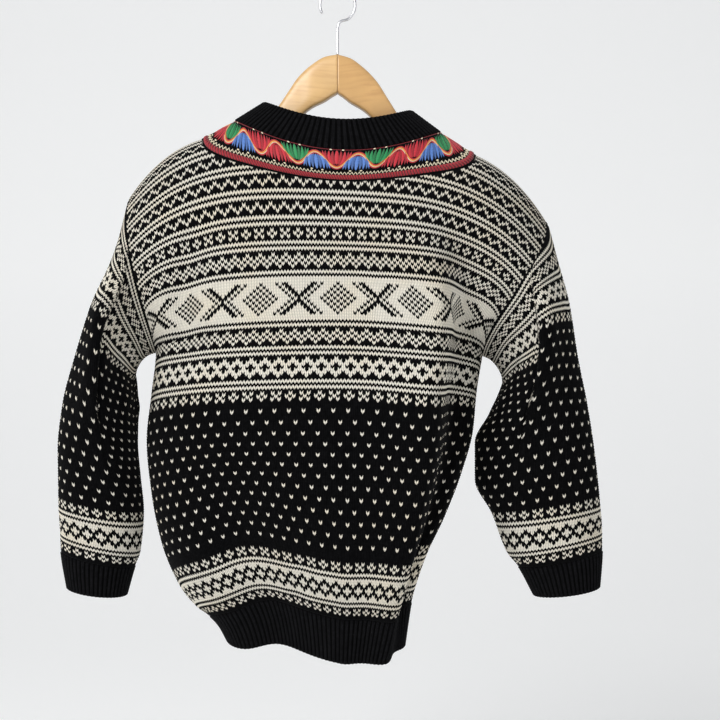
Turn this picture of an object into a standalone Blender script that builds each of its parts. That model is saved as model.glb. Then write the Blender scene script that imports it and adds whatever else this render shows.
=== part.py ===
"""A two-colour knitted pullover hanging on a wooden hanger, its back towards -Y.

Frame: +Z up, the hook bears at the origin, the garment's back faces -Y and the wearer's right side is +X.
Every cloth piece is a wall through points worked out from stitches and rows of the knitting.
"""
import math
from collections import namedtuple

import bmesh
import bpy
import numpy as np

NAME = "norwegian_sweater"
MM = 0.001

# Knitted cloth, in stitches round a half body and rows from the shoulder down
HALF_STITCHES = 66.0     # half of one panel, centre to side
ARMHOLE_ROWS = 67.0      # shoulder point to underarm
BODY_ROWS = 171.0        # shoulder to the top of the hem rib
HEM_ROWS = 15.0          # rows that the hem rib spans
SLEEVE_ROWS = 117.0
CUFF_ROWS = 13.0
NECK_STITCHES = 39.0     # half width of the neck cut, along the shoulder
NECK_DROP = {"back": 17.5, "front": 34.0}   # rows that the neck is cut down at the centre
NECK_ROUNDNESS = 0.5

WALL = 3.0 * MM          # knit
BAND_WALL = 2.6 * MM
RIB_HEIGHT = 1.1 * MM
SEAM = 0.3 * MM          # between neighbouring pieces
MITRE_LIMIT = 0.36       # a seam's corner is never lengthened past 1 / this
RIM_COMPASS = np.array([0.31, 0.52, 0.80])   # a direction that no seam runs square to
SEAM_Y = 14.0 * MM       # shoulder seams lie this far in front of the hook's plane
TILT = 0.056             # the hanger leans down to +X by this slope

# Facets
NECK_COLUMNS = 8         # from the centre to the neck point
NECK_CROWDING = 1.6      # how much closer the columns stand near the neck point
SHOULDER_COLUMNS = 6     # from the neck point to the armhole
UPPER_STEPS = 12
UPPER_EVENNESS = 0.4     # 1 spaces the rows above the underarm evenly, 0 crowds them at both ends
LOWER_STEPS = 14
SLEEVE_STEPS = 14
ROW_SAMPLES = 180        # points along half a row before it is spaced by stitches
HALF_LINES = int(HALF_STITCHES) + 1
ROW_LINES = np.arange(0.0, BODY_ROWS + HEM_ROWS + 0.5, 1.0)

# Body sections, in mm: x at the left side, centre and right side, z at the centre, how far the sides drop
# below the centre, y of the back, the side and the front
BODY_COLUMNS = ("row", "x_left", "x_mid", "x_right", "z_mid", "drop_left", "drop_right",
                "y_back", "y_side", "y_front", "sag_power")
BODY_SECTIONS = (
    (0.0, -246, 0, 246, -171, 78, 78, 0, 0, 0, 4.5),
    (4.0, -243, 0, 243, -186, 70, 74, -28, 0, 20, 4.0),
    (17.5, -236, -1, 226, -233, 45, 66, -60, 0, 44, 3.2),
    (33.0, -226, -1, 200, -291, 34, 52, -76, 0, 58, 2.6),
    (55.0, -217, 0, 175, -364, 24, 36, -90, 4, 72, 2.1),
    (67.0, -215, -1, 171, -403, 22, 26, -94, 10, 92, 2.0),
    (84.0, -221, -3, 164, -456, 23, 19, -97, 14, 102, 2.0),
    (100.0, -227, -6, 160, -508, 26, 12, -98, 16, 106, 2.0),
    (120.0, -221, -6, 146, -568, 31, 3, -98, 16, 108, 2.0),
    (138.0, -208, -6, 126, -625, 34, -4, -96, 14, 106, 2.0),
    (152.0, -190, -5, 106, -668, 33, -6, -90, 12, 102, 2.0),
    (164.0, -168, -4, 92, -704, 25, -3, -80, 10, 94, 2.0),
    (171.0, -152, -3, 86, -723, 17, 0, -74, 8, 90, 2.0),
    (178.0, -140, -3, 82, -748, 3, -1, -68, 7, 84, 2.0),
    (186.0, -130, -3, 78, -776, -9, -1, -62, 6, 78, 2.0),
)

# Folds: stitch from the panel's centre (+ towards +X), half width in stitches, height outwards, lean
# towards +X and drop in mm, and the rows where it begins, is full, starts to fade and ends
Fold = namedtuple("Fold", "panel stitch width height lean drop begins full fades ends")
FOLD_EDGE_POWER = 8      # how sharply a fold dies out at the panel's side
FOLDS = [Fold(*line) for line in (
    ("back", 24, 11, 40, 20, 4, 14, 60, 150, 230),
    ("back", 42, 9, -22, -6, 0, 30, 70, 140, 200),
    ("back", -22, 13, -20, 0, -13, 95, 150, 170, 230),
    ("back", -40, 6, -9, 0, 2, 18, 40, 62, 92),
    ("back", 4, 9, 9, 4, 3, 110, 150, 180, 230),
    ("front", 24, 10, 30, 8, 0, 45, 85, 160, 230),
    ("front", -2, 9, -20, 0, 0, 55, 95, 160, 230),
    ("front", -30, 10, 24, -6, 0, 60, 110, 160, 230),
)]

# Armhole seams, in mm: top and underarm points, and how deep the loop is to the back and to the front
Armhole = namedtuple("Armhole", "x_top z_top x_under z_under y_under depth_back depth_front")
ARMHOLES = {
    "right": Armhole(246, -258, 171, -429, 10, 66, 60),
    "left": Armhole(-246, -258, -215, -425, 10, 66, 60),
}
ARMHOLE_ENTRY = 0.06     # share of the way in that the seam already starts with
ARMHOLE_FALL = 0.9       # power of its fall: under 1 it falls faster at the top
ARMHOLE_SWING = 0.7      # power of its swing in depth: under 1 the loop is squarer

# Sleeve sections, in mm: outer and inner edge (x away from the centre), mid depth, half depths, and the
# power with which the rows fall from the outer to the inner edge
SLEEVE_COLUMNS = ("row", "x_out", "z_out", "x_in", "z_in", "y_mid", "back", "front", "fall")
SLEEVE_SECTIONS = {
    "right": (
        (0.0, 254, -275, 172, -430, 2, 66, 60, 1.6),
        (12.0, 261, -322, 189, -438, 4, 70, 60, 2.3),
        (28.0, 272, -376, 197, -463, -2, 70, 58, 2.4),
        (45.0, 282, -434, 183, -499, -2, 60, 52, 1.8),
        (60.0, 293, -486, 164, -534, -2, 50, 46, 1.3),
        (78.0, 302, -543, 164, -577, -2, 44, 42, 1.1),
        (95.0, 308, -598, 184, -617, -2, 40, 38, 1.0),
        (110.0, 311, -641, 202, -663, -2, 38, 36, 1.0),
        (117.0, 311, -660, 215, -679, -2, 37, 35, 1.0),
        (130.0, 308, -704, 234, -714, -2, 33, 31, 1.0),
    ),
    "left": (
        (0.0, 254, -275, 216, -426, 2, 66, 60, 1.6),
        (12.0, 264, -322, 234, -432, 4, 72, 62, 2.3),
        (28.0, 286, -376, 243, -458, 0, 82, 66, 2.4),
        (45.0, 306, -434, 240, -499, -2, 78, 66, 1.8),
        (60.0, 321, -486, 240, -534, -2, 70, 62, 1.3),
        (78.0, 328, -543, 236, -577, -2, 58, 54, 1.1),
        (95.0, 328, -598, 232, -617, -2, 48, 46, 1.0),
        (110.0, 326, -641, 236, -663, -2, 42, 41, 1.0),
        (117.0, 325, -660, 242, -679, -2, 41, 40, 1.0),
        (130.0, 318, -704, 252, -714, -2, 35, 34, 1.0),
    ),
}
SLEEVE_BLEND_ROWS = 24.0   # over these the sleeve goes from the armhole's shape to its own
SLEEVE_BLEND_POWER = 1.6
# Folds of a sleeve: share of the turn from the shoulder over the back, half width as a share of the turn,
# height in mm, and the rows where it begins, is full, starts to fade and ends
SleeveFold = namedtuple("SleeveFold", "turn width height begins full fades ends")
SLEEVE_FOLDS = (
    SleeveFold(0.24, 0.05, 12, 4, 26, 44, 66),
    SleeveFold(0.36, 0.05, -12, 20, 34, 50, 66),
)

# Neck loops, in mm: half width, y and z at the back centre, z at the sides, y and z at the front centre
NeckLoop = namedtuple("NeckLoop", "half_width y_back z_back z_side y_front z_front")
COLLAR_BASE = NeckLoop(121.5, -53, -196, -161, 50, -252)
COLLAR_TOP = NeckLoop(86, -46, -159, -137, 44, -214)

# Hanger, in mm: stations from the centre outwards
ArmStation = namedtuple("ArmStation", "x z_top height thickness y")
ARM_STATIONS = [ArmStation(*line) for line in (
    (0, -78, 48, 20, 0),
    (14, -81, 49, 20, 1),
    (30, -91, 50, 20, 2),
    (46, -106, 50, 19, 4),
    (59, -125, 44, 19, 6),
    (74, -146, 38, 18, 8),
    (95, -162, 34, 17, 10),
    (122, -176, 30, 16, 12),
    (142, -186, 27, 15, 13.5),
    (160, -191, 24, 14, 14),
    (176, -198, 21, 13.5, 14),
    (190, -208, 18, 13, 14),
)]
# Section of the arm: across (-1 to 1) and down (0 at the top, 1 at the bottom)
ARM_OUTLINE = ((0.0, 0.0), (0.5, 0.045), (0.87, 0.17), (1.0, 0.35), (1.0, 0.7), (0.85, 0.92), (0.5, 1.0),
               (-0.5, 1.0), (-0.85, 0.92), (-1.0, 0.7), (-1.0, 0.35), (-0.87, 0.17), (-0.5, 0.045))
ARM_TIP = 4 * MM         # the rounded end past the last station, and its height and thickness there
ARM_TIP_DROP, ARM_TIP_HEIGHT, ARM_TIP_THICKNESS = 0.3, 0.35, 0.45
SEAT_X = 165 * MM        # outside this the arm's top follows the cloth that it carries
SEAT_GAP = 4.0 * MM      # under the seam's own corner, so that the arm's flanks just clear the cloth

HOOK_WIRE = 1.6 * MM     # radius
HOOK_INNER = 19 * MM
STEM_FOOT = -0.0776

MATERIALS = {
    "knit_black": ((0.012, 0.012, 0.015), 0.95, 0.0),
    "knit_back": ((0.30, 0.29, 0.26), 0.95, 0.0),
    "woven_band": ((0.45, 0.06, 0.05), 0.8, 0.0),
    "beech": ((0.72, 0.45, 0.20), 0.45, 0.0),
    "steel": ((0.60, 0.60, 0.62), 0.25, 1.0),
}


def smoothstep(value):
    value = np.clip(value, 0.0, 1.0)
    return value * value * (3.0 - 2.0 * value)


def column(table, names, name, at):
    """A column of a table of sections at any row, through a smooth curve that never overshoots."""
    rows = np.array([line[0] for line in table], float)
    values = np.array([line[names.index(name)] for line in table], float)
    steps = np.diff(values) / np.diff(rows)
    slopes = np.zeros(len(rows))
    slopes[0], slopes[-1] = steps[0], steps[-1]
    inner = steps[:-1] * steps[1:] > 0
    total = np.where(np.abs(steps[:-1] + steps[1:]) < 1e-12, 1.0, steps[:-1] + steps[1:])
    slopes[1:-1] = np.where(inner, 2.0 * steps[:-1] * steps[1:] / total, 0.0)
    at = np.clip(np.asarray(at, float), rows[0], rows[-1])
    i = np.clip(np.searchsorted(rows, at, side="right") - 1, 0, len(rows) - 2)
    h = rows[i + 1] - rows[i]
    t = (at - rows[i]) / h
    return (values[i] * (2 * t**3 - 3 * t**2 + 1) + h * slopes[i] * (t**3 - 2 * t**2 + t)
            + values[i + 1] * (3 * t**2 - 2 * t**3) + h * slopes[i + 1] * (t**3 - t**2))


def fade_of(fold, row):
    """How much of a fold there is at a row, from 0 to 1."""
    entry = smoothstep((row - fold.begins) / (fold.full - fold.begins))
    return entry * smoothstep((fold.ends - row) / (fold.ends - fold.fades))


def lean_drop(x, row):
    """The hanger's lean lowers the +X side of the shoulders, and dies out down to the underarms."""
    return TILT * x * (1.0 - smoothstep(row / ARMHOLE_ROWS))


def armhole(side, panel, row):
    """A point of the armhole seam, from the shoulder point (row 0) to the underarm."""
    seam = ARMHOLES[side]
    v = np.clip(row / ARMHOLE_ROWS, 0.0, 1.0)
    depth = -seam.depth_back if panel == "back" else seam.depth_front
    x = seam.x_top + (seam.x_under - seam.x_top) * smoothstep(ARMHOLE_ENTRY + (1.0 - ARMHOLE_ENTRY) * v)
    z = seam.z_top + (seam.z_under - seam.z_top) * v ** ARMHOLE_FALL
    y = depth * np.sin(math.pi * v) ** ARMHOLE_SWING + seam.y_under * v
    return np.array([x * MM, y * MM, z * MM - lean_drop(x * MM, row)])


def half_row(panel, side, row):
    """One row of one panel from its centre to its side, as dense points."""
    def value(name):
        return float(column(BODY_SECTIONS, BODY_COLUMNS, name, row)) * MM

    centre = np.array([value("x_mid"), value("y_" + panel), value("z_mid")])
    sign = 1.0 if side == "right" else -1.0
    if row < ARMHOLE_ROWS:
        edge = armhole(side, panel, row)
        roundness = float(smoothstep(row / ARMHOLE_ROWS))
    else:
        edge = np.array([value("x_" + side), value("y_side"), value("z_mid") - value("drop_" + side)])
        roundness = 1.0
    power = value("sag_power") / MM
    u = np.linspace(0.0, 1.0, ROW_SAMPLES)
    arc = 0.5 * math.pi * u
    x = centre[0] + (edge[0] - centre[0]) * ((1.0 - roundness) * u + roundness * np.sin(arc))
    y = edge[1] + (centre[1] - edge[1]) * np.cos(arc)
    level_edge = edge[2] + lean_drop(edge[0], row)
    z = centre[2] + (level_edge - centre[2]) * u ** power - lean_drop(x, row)
    outward = -1.0 if panel == "back" else 1.0
    for fold in FOLDS:
        if fold.panel != panel:
            continue
        away = (sign * u * HALF_STITCHES - fold.stitch) / fold.width
        bump = MM * np.exp(-away ** 2) * fade_of(fold, row) * (1.0 - u ** FOLD_EDGE_POWER)
        y = y + outward * fold.height * bump
        x = x + fold.lean * bump
        z = z - fold.drop * bump
    return np.stack([x, y + SEAM_Y, z], axis=1)


def even_spacing(points, count):
    """The same line with its points evenly spaced, as stitches are."""
    length = np.concatenate([[0.0], np.cumsum(np.linalg.norm(np.diff(points, axis=0), axis=1))])
    at = np.linspace(0.0, length[-1], count)
    return np.stack([np.interp(at, length, points[:, k]) for k in range(3)], axis=1)


def panel_table(panel):
    """Every row of a panel with a point at each stitch, left side to right side."""
    rows = []
    for row in ROW_LINES:
        left = even_spacing(half_row(panel, "left", row), HALF_LINES)
        right = even_spacing(half_row(panel, "right", row), HALF_LINES)
        rows.append(np.concatenate([left[::-1], right[1:]]))
    return np.array(rows)


def sample(table, stitch, row):
    """A point of a panel at any stitch (from its centre, + towards +X) and row."""
    c = np.clip(np.asarray(stitch, float) + HALF_STITCHES, 0.0, 2 * HALF_STITCHES)
    r = np.clip(np.asarray(row, float), 0.0, len(ROW_LINES) - 1.0)
    c0 = np.minimum(c.astype(int), 2 * HALF_LINES - 3)
    r0 = np.minimum(r.astype(int), len(ROW_LINES) - 2)
    fc = (c - c0)[..., None]
    fr = (r - r0)[..., None]
    top = table[r0, c0] * (1 - fc) + table[r0, c0 + 1] * fc
    low = table[r0 + 1, c0] * (1 - fc) + table[r0 + 1, c0 + 1] * fc
    return top * (1 - fr) + low * fr


def neck_row(panel, stitch):
    """The row at which the neck is cut, for a stitch counted from the panel's centre."""
    turn = np.clip(np.abs(stitch) / NECK_STITCHES, 0.0, 1.0) * 0.5 * math.pi
    return NECK_DROP[panel] * np.cos(turn).clip(0.0) ** NECK_ROUNDNESS


def neck_stitches():
    """Stitches from the centre to the neck point, closer together where the neck cut is steep."""
    return NECK_STITCHES * (1.0 - np.linspace(1.0, 0.0, NECK_COLUMNS + 1) ** NECK_CROWDING)


def stitch_columns():
    neck = neck_stitches()
    shoulder = np.linspace(NECK_STITCHES, HALF_STITCHES, SHOULDER_COLUMNS + 1)[1:]
    half = np.concatenate([neck, shoulder])
    return np.concatenate([-half[:0:-1], half])


def upper_shares():
    """Shares of the rows from the shoulder to the underarm, closer together at both ends."""
    even = np.linspace(0.0, 1.0, UPPER_STEPS + 1)
    return UPPER_EVENNESS * even + (1.0 - UPPER_EVENNESS) * (0.5 - 0.5 * np.cos(math.pi * even))


def panel_points(table, panel):
    """The grid of a front or back: columns at fixed stitches, the rows under the neck cut spread evenly."""
    stitches = stitch_columns()
    start = neck_row(panel, stitches)
    upper = upper_shares()[:, None]
    upper_rows = start[None, :] + (ARMHOLE_ROWS - start[None, :]) * upper
    lower = np.linspace(ARMHOLE_ROWS, BODY_ROWS, LOWER_STEPS + 1)[1:, None] + 0.0 * start[None, :]
    rows = np.concatenate([upper_rows, lower])
    return sample(table, np.broadcast_to(stitches, rows.shape), rows)


def loop_point(loop, turn):
    """A point of a neck loop: turn 0 at the back centre, +90 degrees at +X, 180 at the front."""
    c = np.cos(turn)
    x = loop.half_width * np.sin(turn)
    y = np.where(c >= 0.0, loop.y_back * c, -loop.y_front * c)
    z = loop.z_side + np.where(c >= 0.0, loop.z_back - loop.z_side, loop.z_front - loop.z_side) * c * c
    return np.stack([x * MM, y * MM + SEAM_Y, (z - TILT * x) * MM], axis=-1)


def neck_columns():
    """Stitches and panels round the neck, from the left shoulder over the back to the right and back."""
    half = neck_stitches()
    s = np.concatenate([-half[:0:-1], half[:-1]])
    back = [("back", value) for value in s]
    front = [("front", -value) for value in s]
    turns = np.concatenate([s / NECK_STITCHES * 0.5 * math.pi, s / NECK_STITCHES * 0.5 * math.pi + math.pi])
    return back + front, turns


def sleeve_ring(side, seam, edge_rows, row):
    """A ring of a sleeve, from the shoulder over the back to the underarm and up the front."""
    sign = 1.0 if side == "right" else -1.0
    blend = 1.0 - (1.0 - min(row / SLEEVE_BLEND_ROWS, 1.0)) ** SLEEVE_BLEND_POWER

    def value(name):
        return float(column(SLEEVE_SECTIONS[side], SLEEVE_COLUMNS, name, row)) * MM

    fall = value("fall") / MM
    points = []
    for panel, edge_row in edge_rows:
        v = edge_row / ARMHOLE_ROWS
        across = 0.5 - 0.5 * math.cos(math.pi * v)
        x = value("x_out") + (value("x_in") - value("x_out")) * across
        z = value("z_out") + (value("z_in") - value("z_out")) * across ** fall
        depth = -value("back") if panel == "back" else value("front")
        y = value("y_mid") + depth * math.sin(math.pi * v)
        round_turn = 0.5 * v if panel == "back" else 1.0 - 0.5 * v
        for fold in SLEEVE_FOLDS:
            bump = math.exp(-((round_turn - fold.turn) / fold.width) ** 2) * float(fade_of(fold, row))
            y -= fold.height * MM * bump
        free = np.array([sign * x, y, z])
        points.append(free)
    return seam * (1.0 - blend) + (np.array(points) + np.array([0.0, SEAM_Y, 0.0])) * blend


def sleeve_points(tables, side, rows):
    """The grid of a sleeve, its first ring on the points of the body's armhole."""
    down = ARMHOLE_ROWS * upper_shares()
    edge_rows = [("back", r) for r in down] + [("front", r) for r in down[-2:0:-1]]
    edge_stitch = HALF_STITCHES if side == "right" else -HALF_STITCHES
    seam = np.array([sample(tables[panel], edge_stitch, row) for panel, row in edge_rows])
    return np.array([sleeve_ring(side, seam, edge_rows, row) for row in rows])


class Wall:
    """A grid of points of a cloth's middle, with the normals that its neighbours share."""

    def __init__(self, points, round_tube, flip):
        self.points = points
        self.round_tube = round_tube
        self.flip = flip
        self.normals = np.zeros_like(points)

    def face_normals(self):
        p = self.points
        if self.round_tube:
            p = np.concatenate([p, p[:, :1]], axis=1)
        diagonal_a = p[1:, 1:] - p[:-1, :-1]
        diagonal_b = p[1:, :-1] - p[:-1, 1:]
        normal = np.cross(diagonal_a, diagonal_b)
        return -normal if self.flip else normal


def share_normals(walls):
    """Normals that all walls meeting at a point share, lengthened to keep each wall's thickness there."""
    def key(point):
        return tuple(np.round(point / (0.02 * MM)).astype(int))

    meeting = {}
    for wall in walls:
        faces = wall.face_normals()
        rows, cols = faces.shape[:2]
        width = wall.points.shape[1]
        own = np.zeros_like(wall.points)
        for di, dj in ((0, 0), (0, 1), (1, 0), (1, 1)):
            for j in range(cols):
                own[di:rows + di, (j + dj) % width] += faces[:, j]
        own /= np.linalg.norm(own, axis=-1, keepdims=True)
        for i in range(rows + 1):
            for j in range(width):
                meeting.setdefault(key(wall.points[i, j]), []).append(own[i, j])
    shared = {}
    for place, normals in meeting.items():
        middle = np.sum(normals, axis=0)
        middle /= np.linalg.norm(middle)
        cosine = min(float(middle @ n) for n in normals)
        shared[place] = middle / max(cosine, MITRE_LIMIT)
    for wall in walls:
        for i in range(wall.points.shape[0]):
            for j in range(wall.points.shape[1]):
                wall.normals[i, j] = shared[key(wall.points[i, j])]


def refine(array, times):
    """More columns round a closed ring, straight between the given ones."""
    following = np.roll(array, -1, axis=1)
    steps = (np.arange(times) / times)[None, None, :, None]
    fine = array[:, :, None] * (1 - steps) + following[:, :, None] * steps
    return fine.reshape(array.shape[0], -1, 3)


def pull_edges(points, round_tube, ends):
    """Moves the named edges of a grid inwards along the cloth by half a seam."""
    pulled = points.copy()
    half = 0.5 * SEAM

    def moved(edge, inside):
        way = inside - edge
        return edge + way / np.linalg.norm(way, axis=-1, keepdims=True) * half

    if "top" in ends:
        pulled[0] = moved(points[0], points[1])
    if "bottom" in ends:
        pulled[-1] = moved(points[-1], points[-2])
    for way, direction in (("armhole_right", 1.0), ("armhole_left", -1.0)):
        if way in ends:
            pulled[0] = points[0] + np.array([direction * SEAM, 0.0, 0.0])
    if not round_tube:
        source = pulled.copy()
        pulled[:, 0] = moved(source[:, 0], source[:, 1])
        pulled[:, -1] = moved(source[:, -1], source[:, -2])
    return pulled


def rim_triangles(verts, out_a, out_b, in_a, in_b):
    """Two triangles of a rim, split the same way on both sides of a seam."""
    if (verts[out_a] - verts[out_b]) @ RIM_COMPASS > 0.0:
        return [(in_a, out_a, in_b), (out_a, out_b, in_b)]
    return [(in_a, out_a, out_b), (in_a, out_b, in_b)]


def wall_object(name, wall, thickness, ends, times=1, rib=0.0):
    """A closed wall: outer points, inner points and the rims between them."""
    points, normals = wall.points, wall.normals
    if times > 1:
        points, normals = refine(points, times), refine(normals, times)
    rows, cols = points.shape[:2]
    half = 0.5 * thickness
    raise_by = np.full((rows, cols, 1), half)
    if rib:
        raise_by[:, 0::2] += rib
    outer = pull_edges(points + normals * raise_by, wall.round_tube, ends)
    inner = pull_edges(points - normals * half, wall.round_tube, ends)
    verts = np.concatenate([outer.reshape(-1, 3), inner.reshape(-1, 3)])
    count = rows * cols

    def at(i, j, inside):
        return i * cols + j % cols + (count if inside else 0)

    faces = []
    spans = cols if wall.round_tube else cols - 1
    for i in range(rows - 1):
        for j in range(spans):
            quad = (at(i, j, 0), at(i + 1, j, 0), at(i + 1, j + 1, 0), at(i, j + 1, 0))
            back = (at(i, j, 1), at(i, j + 1, 1), at(i + 1, j + 1, 1), at(i + 1, j, 1))
            faces += [quad, back]
    rims = [((0, j), (0, j + 1)) for j in range(spans)]
    rims += [((rows - 1, j + 1), (rows - 1, j)) for j in range(spans)]
    if not wall.round_tube:
        rims += [((i + 1, 0), (i, 0)) for i in range(rows - 1)]
        rims += [((i, cols - 1), (i + 1, cols - 1)) for i in range(rows - 1)]
    for a, b in rims:
        faces += rim_triangles(verts, at(*a, 0), at(*b, 0), at(*a, 1), at(*b, 1))
    mesh = bpy.data.meshes.new(name)
    mesh.from_pydata(verts.tolist(), [], faces)
    return finish_mesh(name, mesh)


def finish_mesh(name, mesh):
    """Triangulated, outward faces, smooth but for its sharp edges, and linked into the collection."""
    bm = bmesh.new()
    bm.from_mesh(mesh)
    bmesh.ops.recalc_face_normals(bm, faces=bm.faces)
    bmesh.ops.triangulate(bm, faces=bm.faces)
    bm.to_mesh(mesh)
    bm.free()
    mesh.shade_smooth()
    mesh.set_sharp_from_angle(angle=math.radians(50))
    obj = bpy.data.objects.new(name, mesh)
    collection().objects.link(obj)
    return obj


def collection():
    found = bpy.data.collections.get(NAME)
    if found is None:
        found = bpy.data.collections.new(NAME)
        bpy.context.scene.collection.children.link(found)
    return found


def paint(obj, material_name):
    colour, roughness, metallic = MATERIALS[material_name]
    material = bpy.data.materials.new(obj.name + "_" + material_name)
    material.use_nodes = True
    shader = material.node_tree.nodes["Principled BSDF"]
    shader.inputs["Base Color"].default_value = (*colour, 1.0)
    shader.inputs["Roughness"].default_value = roughness
    shader.inputs["Metallic"].default_value = metallic
    obj.data.materials.append(material)


def shoulder_height(x):
    """The height of the shoulder seam's middle line at a distance x from the centre, before the lean."""
    seam = half_row("back", "right", 0.0)
    return float(np.interp(x, seam[:, 0], seam[:, 2] + TILT * seam[:, 0]))


def hanger_arm(name, sign):
    """Half of the hanger: a loft of rounded sections, mitred against the other half at the centre."""
    stations = []
    for given in ARM_STATIONS:
        station = ArmStation(*(value * MM for value in given))
        if station.x > SEAT_X:
            station = station._replace(z_top=shoulder_height(station.x) - 0.5 * WALL - SEAT_GAP)
        stations.append(station._replace(x=max(station.x, 0.5 * SEAM)))
    last = stations[-1]
    stations.append(ArmStation(last.x + ARM_TIP, last.z_top - ARM_TIP_DROP * last.height,
                               ARM_TIP_HEIGHT * last.height, ARM_TIP_THICKNESS * last.thickness, last.y))
    rings = []
    for s in stations:
        top = s.z_top - TILT * sign * s.x
        rings.append([(sign * s.x, s.y + 0.5 * s.thickness * across, top - s.height * down)
                      for across, down in ARM_OUTLINE])
    sides = len(ARM_OUTLINE)
    verts = [point for ring in rings for point in ring]
    faces = []
    for i in range(len(rings) - 1):
        for j in range(sides):
            k = (j + 1) % sides
            faces.append((i * sides + j, i * sides + k, (i + 1) * sides + k, (i + 1) * sides + j))
    faces.append(tuple(range(sides)))
    faces.append(tuple(range(len(verts) - sides, len(verts))))
    mesh = bpy.data.meshes.new(name)
    mesh.from_pydata(verts, [], faces)
    return finish_mesh(name, mesh)


def hanger_hook(name):
    """The wire hook: a stem that turns into an open circle whose inner top bears at the origin."""
    radius = HOOK_INNER + HOOK_WIRE
    centre_z = -HOOK_INNER
    points = [(0.0, STEM_FOOT), (0.0, STEM_FOOT + 0.014), (0.0, centre_z - radius - 0.013),
              (0.0022, centre_z - radius - 0.006), (0.0065, centre_z - radius)]
    for k in range(17):
        angle = math.radians(-52 + k * (205 + 52) / 16)
        points.append((radius * math.cos(angle), centre_z + radius * math.sin(angle)))
    curve = bpy.data.curves.new(name, "CURVE")
    curve.dimensions = "3D"
    curve.bevel_depth = HOOK_WIRE
    curve.bevel_resolution = 2
    curve.use_fill_caps = True
    spline = curve.splines.new("POLY")
    spline.points.add(len(points) - 1)
    for target, (x, z) in zip(spline.points, points):
        target.co = (x, 0.0, z, 1.0)
    obj = bpy.data.objects.new(name, curve)
    collection().objects.link(obj)
    return obj


def build():
    for obj in list(bpy.context.scene.objects):
        bpy.data.objects.remove(obj, do_unlink=True)
    tables = {panel: panel_table(panel) for panel in ("back", "front")}
    back_points = panel_points(tables["back"], "back")
    front_points = panel_points(tables["front"], "front")
    neck, turns = neck_columns()
    band_outer = np.array([sample(tables[panel], s, neck_row(panel, s)) for panel, s in neck])
    collar_base = loop_point(COLLAR_BASE, turns)
    collar_top = loop_point(COLLAR_TOP, turns)
    band_points = np.array([band_outer, 0.5 * (band_outer + collar_base), collar_base])
    collar_points = np.array([collar_base, collar_top])
    hem_top = np.concatenate([back_points[-1], front_points[-1, -2:0:-1]])
    stitches = stitch_columns()
    last = BODY_ROWS + HEM_ROWS
    hem_low = np.concatenate([sample(tables["back"], stitches, last + 0 * stitches),
                              sample(tables["front"], stitches[-2:0:-1], last + 0 * stitches[-2:0:-1])])
    hem_points = np.array([hem_top, hem_low])
    sleeve_rows = np.linspace(0.0, SLEEVE_ROWS, SLEEVE_STEPS + 1)
    walls = {
        "back": Wall(back_points, False, True),
        "front": Wall(front_points, False, False),
        "neck_band": Wall(band_points, True, False),
        "neck_rib": Wall(collar_points, True, False),
        "hem_rib": Wall(hem_points, True, True),
    }
    for side in ("right", "left"):
        points = sleeve_points(tables, side, sleeve_rows)
        cuff = sleeve_points(tables, side, [SLEEVE_ROWS, SLEEVE_ROWS + CUFF_ROWS])
        flip = side == "left"
        walls["sleeve_" + side] = Wall(points, True, flip)
        walls["cuff_" + side] = Wall(cuff, True, flip)
    share_normals(list(walls.values()))
    both = ("top", "bottom")
    for name in ("back", "front"):
        paint(wall_object(name, walls[name], WALL, both), "knit_back")
    for side in ("right", "left"):
        ends = ("armhole_" + side, "bottom")
        paint(wall_object("sleeve_" + side, walls["sleeve_" + side], WALL, ends), "knit_back")
    paint(wall_object("neck_band", walls["neck_band"], BAND_WALL, both), "woven_band")
    for name, times in (("neck_rib", 6), ("hem_rib", 5), ("cuff_right", 4), ("cuff_left", 4)):
        paint(wall_object(name, walls[name], WALL - RIB_HEIGHT, ("top",), times, RIB_HEIGHT), "knit_black")
    paint(hanger_arm("hanger_arm_right", 1.0), "beech")
    paint(hanger_arm("hanger_arm_left", -1.0), "beech")
    paint(hanger_hook("hanger_hook"), "steel")


build()
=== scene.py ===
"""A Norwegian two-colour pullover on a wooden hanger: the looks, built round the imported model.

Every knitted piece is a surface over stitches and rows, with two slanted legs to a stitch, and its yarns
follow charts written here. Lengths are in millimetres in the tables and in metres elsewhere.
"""
import functools
import math
from collections import namedtuple

import bpy
import numpy as np
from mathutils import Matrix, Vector


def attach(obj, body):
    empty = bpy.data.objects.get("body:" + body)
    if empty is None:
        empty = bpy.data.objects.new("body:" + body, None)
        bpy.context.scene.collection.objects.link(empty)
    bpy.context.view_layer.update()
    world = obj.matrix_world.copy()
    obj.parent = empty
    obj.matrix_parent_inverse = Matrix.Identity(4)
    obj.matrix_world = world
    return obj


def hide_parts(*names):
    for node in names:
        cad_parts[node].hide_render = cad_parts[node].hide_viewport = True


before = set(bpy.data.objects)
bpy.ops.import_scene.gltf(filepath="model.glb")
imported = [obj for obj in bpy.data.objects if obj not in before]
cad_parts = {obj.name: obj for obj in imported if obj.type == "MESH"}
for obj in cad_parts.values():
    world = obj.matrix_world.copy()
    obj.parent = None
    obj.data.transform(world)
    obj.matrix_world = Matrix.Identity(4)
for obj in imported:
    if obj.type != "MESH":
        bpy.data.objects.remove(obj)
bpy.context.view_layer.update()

bl_info = {
    "name": "Norwegian sweater",
    "version": (1, 0, 0),
    "blender": (4, 5, 0),
    "location": "View3D > Sidebar > Sweater",
    "description": "Builds a knitted two-colour sweater on a wooden hanger, stitch by stitch",
    "category": "Object",
}

MM = 0.001
BODY = "root"

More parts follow.
